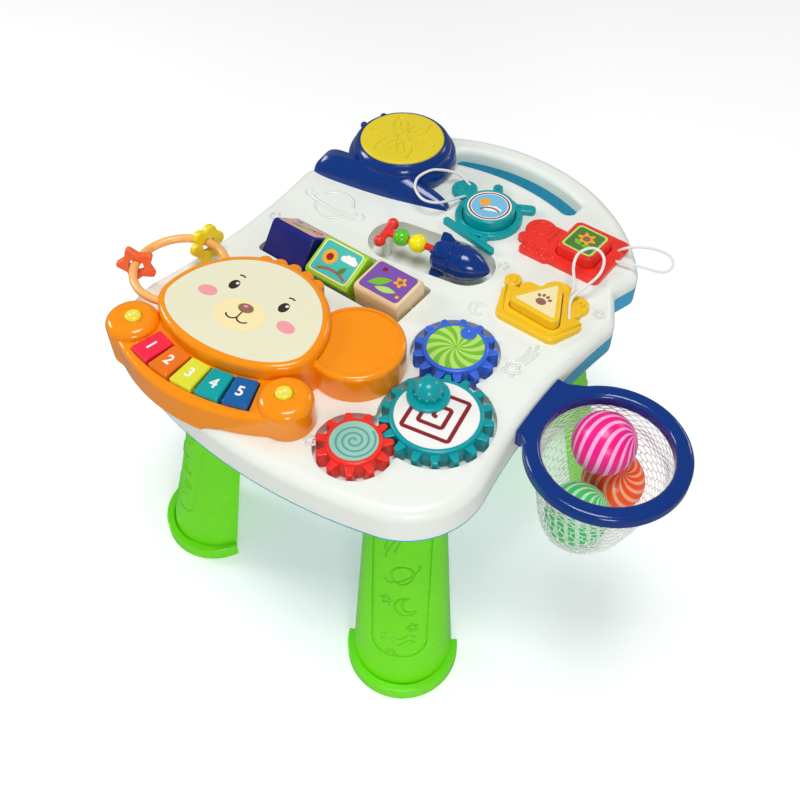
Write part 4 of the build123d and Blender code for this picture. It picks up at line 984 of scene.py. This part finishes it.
def closeTree(tree, start, source, output):
    # the last step of a tree: real geometry in one finish
    real = tree.nodes.new("GeometryNodeRealizeInstances")
    paint = tree.nodes.new("GeometryNodeSetMaterial")
    wire(tree, source, output, real, "Geometry")
    wire(tree, real, "Geometry", paint, "Geometry")
    wire(tree, start, "Finish", paint, "Material")
    wire(tree, paint, "Geometry", tree.nodes.new("NodeGroupOutput"), "Geometry")


def yarnTree():
    # every edge of the net becomes a round yarn
    tree, start, names = openTree("netYarn", (("Yarn Radius", "Float"), ("Finish", "Material")))
    lines = tree.nodes.new("GeometryNodeMeshToCurve")
    section = newNode(tree, "GeometryNodeCurvePrimitiveCircle", Resolution=net["sides"])
    tube = tree.nodes.new("GeometryNodeCurveToMesh")
    wire(tree, start, "Geometry", lines, "Mesh")
    wire(tree, start, "Yarn Radius", section, "Radius")
    wire(tree, lines, "Curve", tube, "Curve")
    wire(tree, section, "Curve", tube, "Profile Curve")
    closeTree(tree, start, tube, "Mesh")
    return tree, *names


def grown(name, mesh, tree, values):
    # runs a node tree on a mesh and hands back the plain result
    holder = newObject(name + "_guide", mesh)
    modifier = holder.modifiers.new("grow", "NODES")
    modifier.node_group = tree
    for identifier, value in values.items():
        modifier[identifier] = value
    result = plainMesh(holder)
    result.name = name
    return result


netTree, yarnRadius, yarnFinish = yarnTree()
guide = makeMesh("net_guide", netGrid, [netWhite])
mesh = grown("ball_net", guide, netTree, {yarnRadius: net["yarn"] / 1000, yarnFinish: netWhite})
piece = finishPiece("ball_net", mesh, "walker")
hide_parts("net_bag")
print("net made:", len(mesh.polygons), "faces")

# Screws under the deck
screws = {
    "head": 3.6, "sides": 24, "profile": ((1, 0.0), (1, 0.7), (0.82, 1.35), (0.5, 1.7)), "arm": 0.42,
    "core": 0.16, "taper": 0.8, "deep": 0.6, "gap": 0.02, "scale": 0.001, "seed": 3,
    "places": ((168, -152), (-168, -152), (0, -196), (188, 62), (-186, 92), (62, 224), (-62, 224)),
}


def screwMesh(mesh):
    # pan head with a cross recess, hanging from the surface above it
    sides = screws["sides"]

    def ring(radii, drop):
        angles = [2 * pi * i / sides for i in range(sides)]
        return [mesh.verts.new((r * cos(a), r * sin(a), -drop)) for r, a in zip(radii, angles)]

    rows = [ring([screws["head"] * share] * sides, drop) for share, drop in screws["profile"]]
    arms = [screws["arm"] if i % 6 in (0, 1, 5) else screws["core"] for i in range(sides)]
    rows.append(ring([screws["head"] * share for share in arms], screws["profile"][-1][1]))
    rows.append([mesh.verts.new((v.co.x * screws["taper"], v.co.y * screws["taper"], -screws["deep"]))
                 for v in rows[-1]])
    for upper, lower in zip(rows, rows[1:]):
        for i in range(sides):
            after = (i + 1) % sides
            mesh.faces.new((upper[i], lower[i], lower[after], upper[after]))
    mesh.faces.new(rows[-1][::-1])
    mesh.faces.new(rows[0])


def scatterTree(item):
    # copies of one small piece on points, each with its own turn
    inputs = (("Size", "Float"), ("Turn Seed", "Int"), ("Finish", "Material"))
    tree, start, names = openTree("screwSet", inputs)
    source = newNode(tree, "GeometryNodeObjectInfo", Object=item)
    copies = tree.nodes.new("GeometryNodeInstanceOnPoints")
    spin = tree.nodes.new("FunctionNodeRandomValue")
    spin.data_type = "FLOAT_VECTOR"
    dress(spin, Min=(0, 0, 0), Max=(0, 0, 6.28))
    wire(tree, start, "Geometry", copies, "Points")
    wire(tree, source, "Geometry", copies, "Instance")
    wire(tree, start, "Turn Seed", spin, "Seed")
    wire(tree, spin, "Value", copies, "Rotation")
    wire(tree, start, "Size", copies, "Scale")
    closeTree(tree, start, copies, "Instances")
    return tree, *names


screw = newObject("screw_model", makeMesh("screw_model", screwMesh, [steel]))
screwTree, sizeInput, seedInput, finishInput = scatterTree(screw)
spots = bpy.data.meshes.new("screw_spots")
height = -deck["depth"] + screws["gap"]
spots.from_pydata([tuple(rowPoint(x, y, height)) for x, y in screws["places"]], [], [])
values = {sizeInput: screws["scale"], seedInput: screws["seed"], finishInput: steel}
mesh = grown("deck_screws", spots, screwTree, values)
bpy.data.objects.remove(screw)
finishPiece("deck_screws", mesh, "walker")
print("screws made")

# Floor, light and camera
studio = {
    "floor": 6.0, "lift": 0.3, "world": 0.24, "lens": 45.0, "sensor": 36.0, "roll": -0.43, "pitch": 50.36,
    "camera": (0.4022, -0.5973, 1.064), "heading": (-0.616, 0.788), "target": (0, 0, 0.3),
}
mesh = bpy.data.meshes.new("floor")
half = studio["floor"]
corners = [(-half, -half, 0), (half, -half, 0), (half, half, 0), (-half, half, 0)]
mesh.from_pydata(corners, [], [(0, 1, 2, 3)])
floor = newObject("floor", mesh)
mesh.materials.append(newMaterial(
    "floorPaint", Base_Color=(0.93, 0.93, 0.93, 1), Roughness=0.9, Emission_Color=(1, 1, 1, 1),
    Emission_Strength=studio["lift"])[0])
floor.visible_glossy = False

lamps = {
    "above": ((0.2, -0.3, 2.3), 0.8, 24.0), "left": ((-1.9, -0.6, 1.3), 0.6, 13.0),
    "right": ((1.5, -1.7, 1.1), 0.6, 14.0), "back": ((0.5, 2.0, 1.3), 0.6, 5.0),
}
target = Vector(studio["target"])
for name, (spot, size, power) in lamps.items():
    lamp = bpy.data.lights.new(name, "AREA")
    setAll(lamp, size=size, energy=power)
    holder = newObject("lamp_" + name, lamp)
    holder.location = spot
    holder.rotation_euler = (target - Vector(spot)).to_track_quat("-Z", "Y").to_euler()

world = bpy.data.worlds.new("studio")
world.use_nodes = True
dress(world.node_tree.nodes["Background"], Color=(1, 1, 1, 1), Strength=studio["world"])
bpy.context.scene.world = world

lens = bpy.data.cameras.new("camera")
setAll(lens, lens=studio["lens"], sensor_width=studio["sensor"])
camera = newObject("camera", lens)
camera.location = studio["camera"]
pitch = radians(studio["pitch"])
hx, hy = studio["heading"]
forward = Vector((hx * cos(pitch), hy * cos(pitch), -sin(pitch))).normalized()
right = forward.cross(Vector((0, 0, 1))).normalized()
upward = right.cross(forward)
axes = Matrix((right, upward, -forward)).transposed() @ Matrix.Rotation(radians(studio["roll"]), 3, "Z")
camera.rotation_euler = axes.to_euler()
bpy.context.scene.camera = camera
bpy.context.scene.view_settings.view_transform = "Standard"
print("stage set")
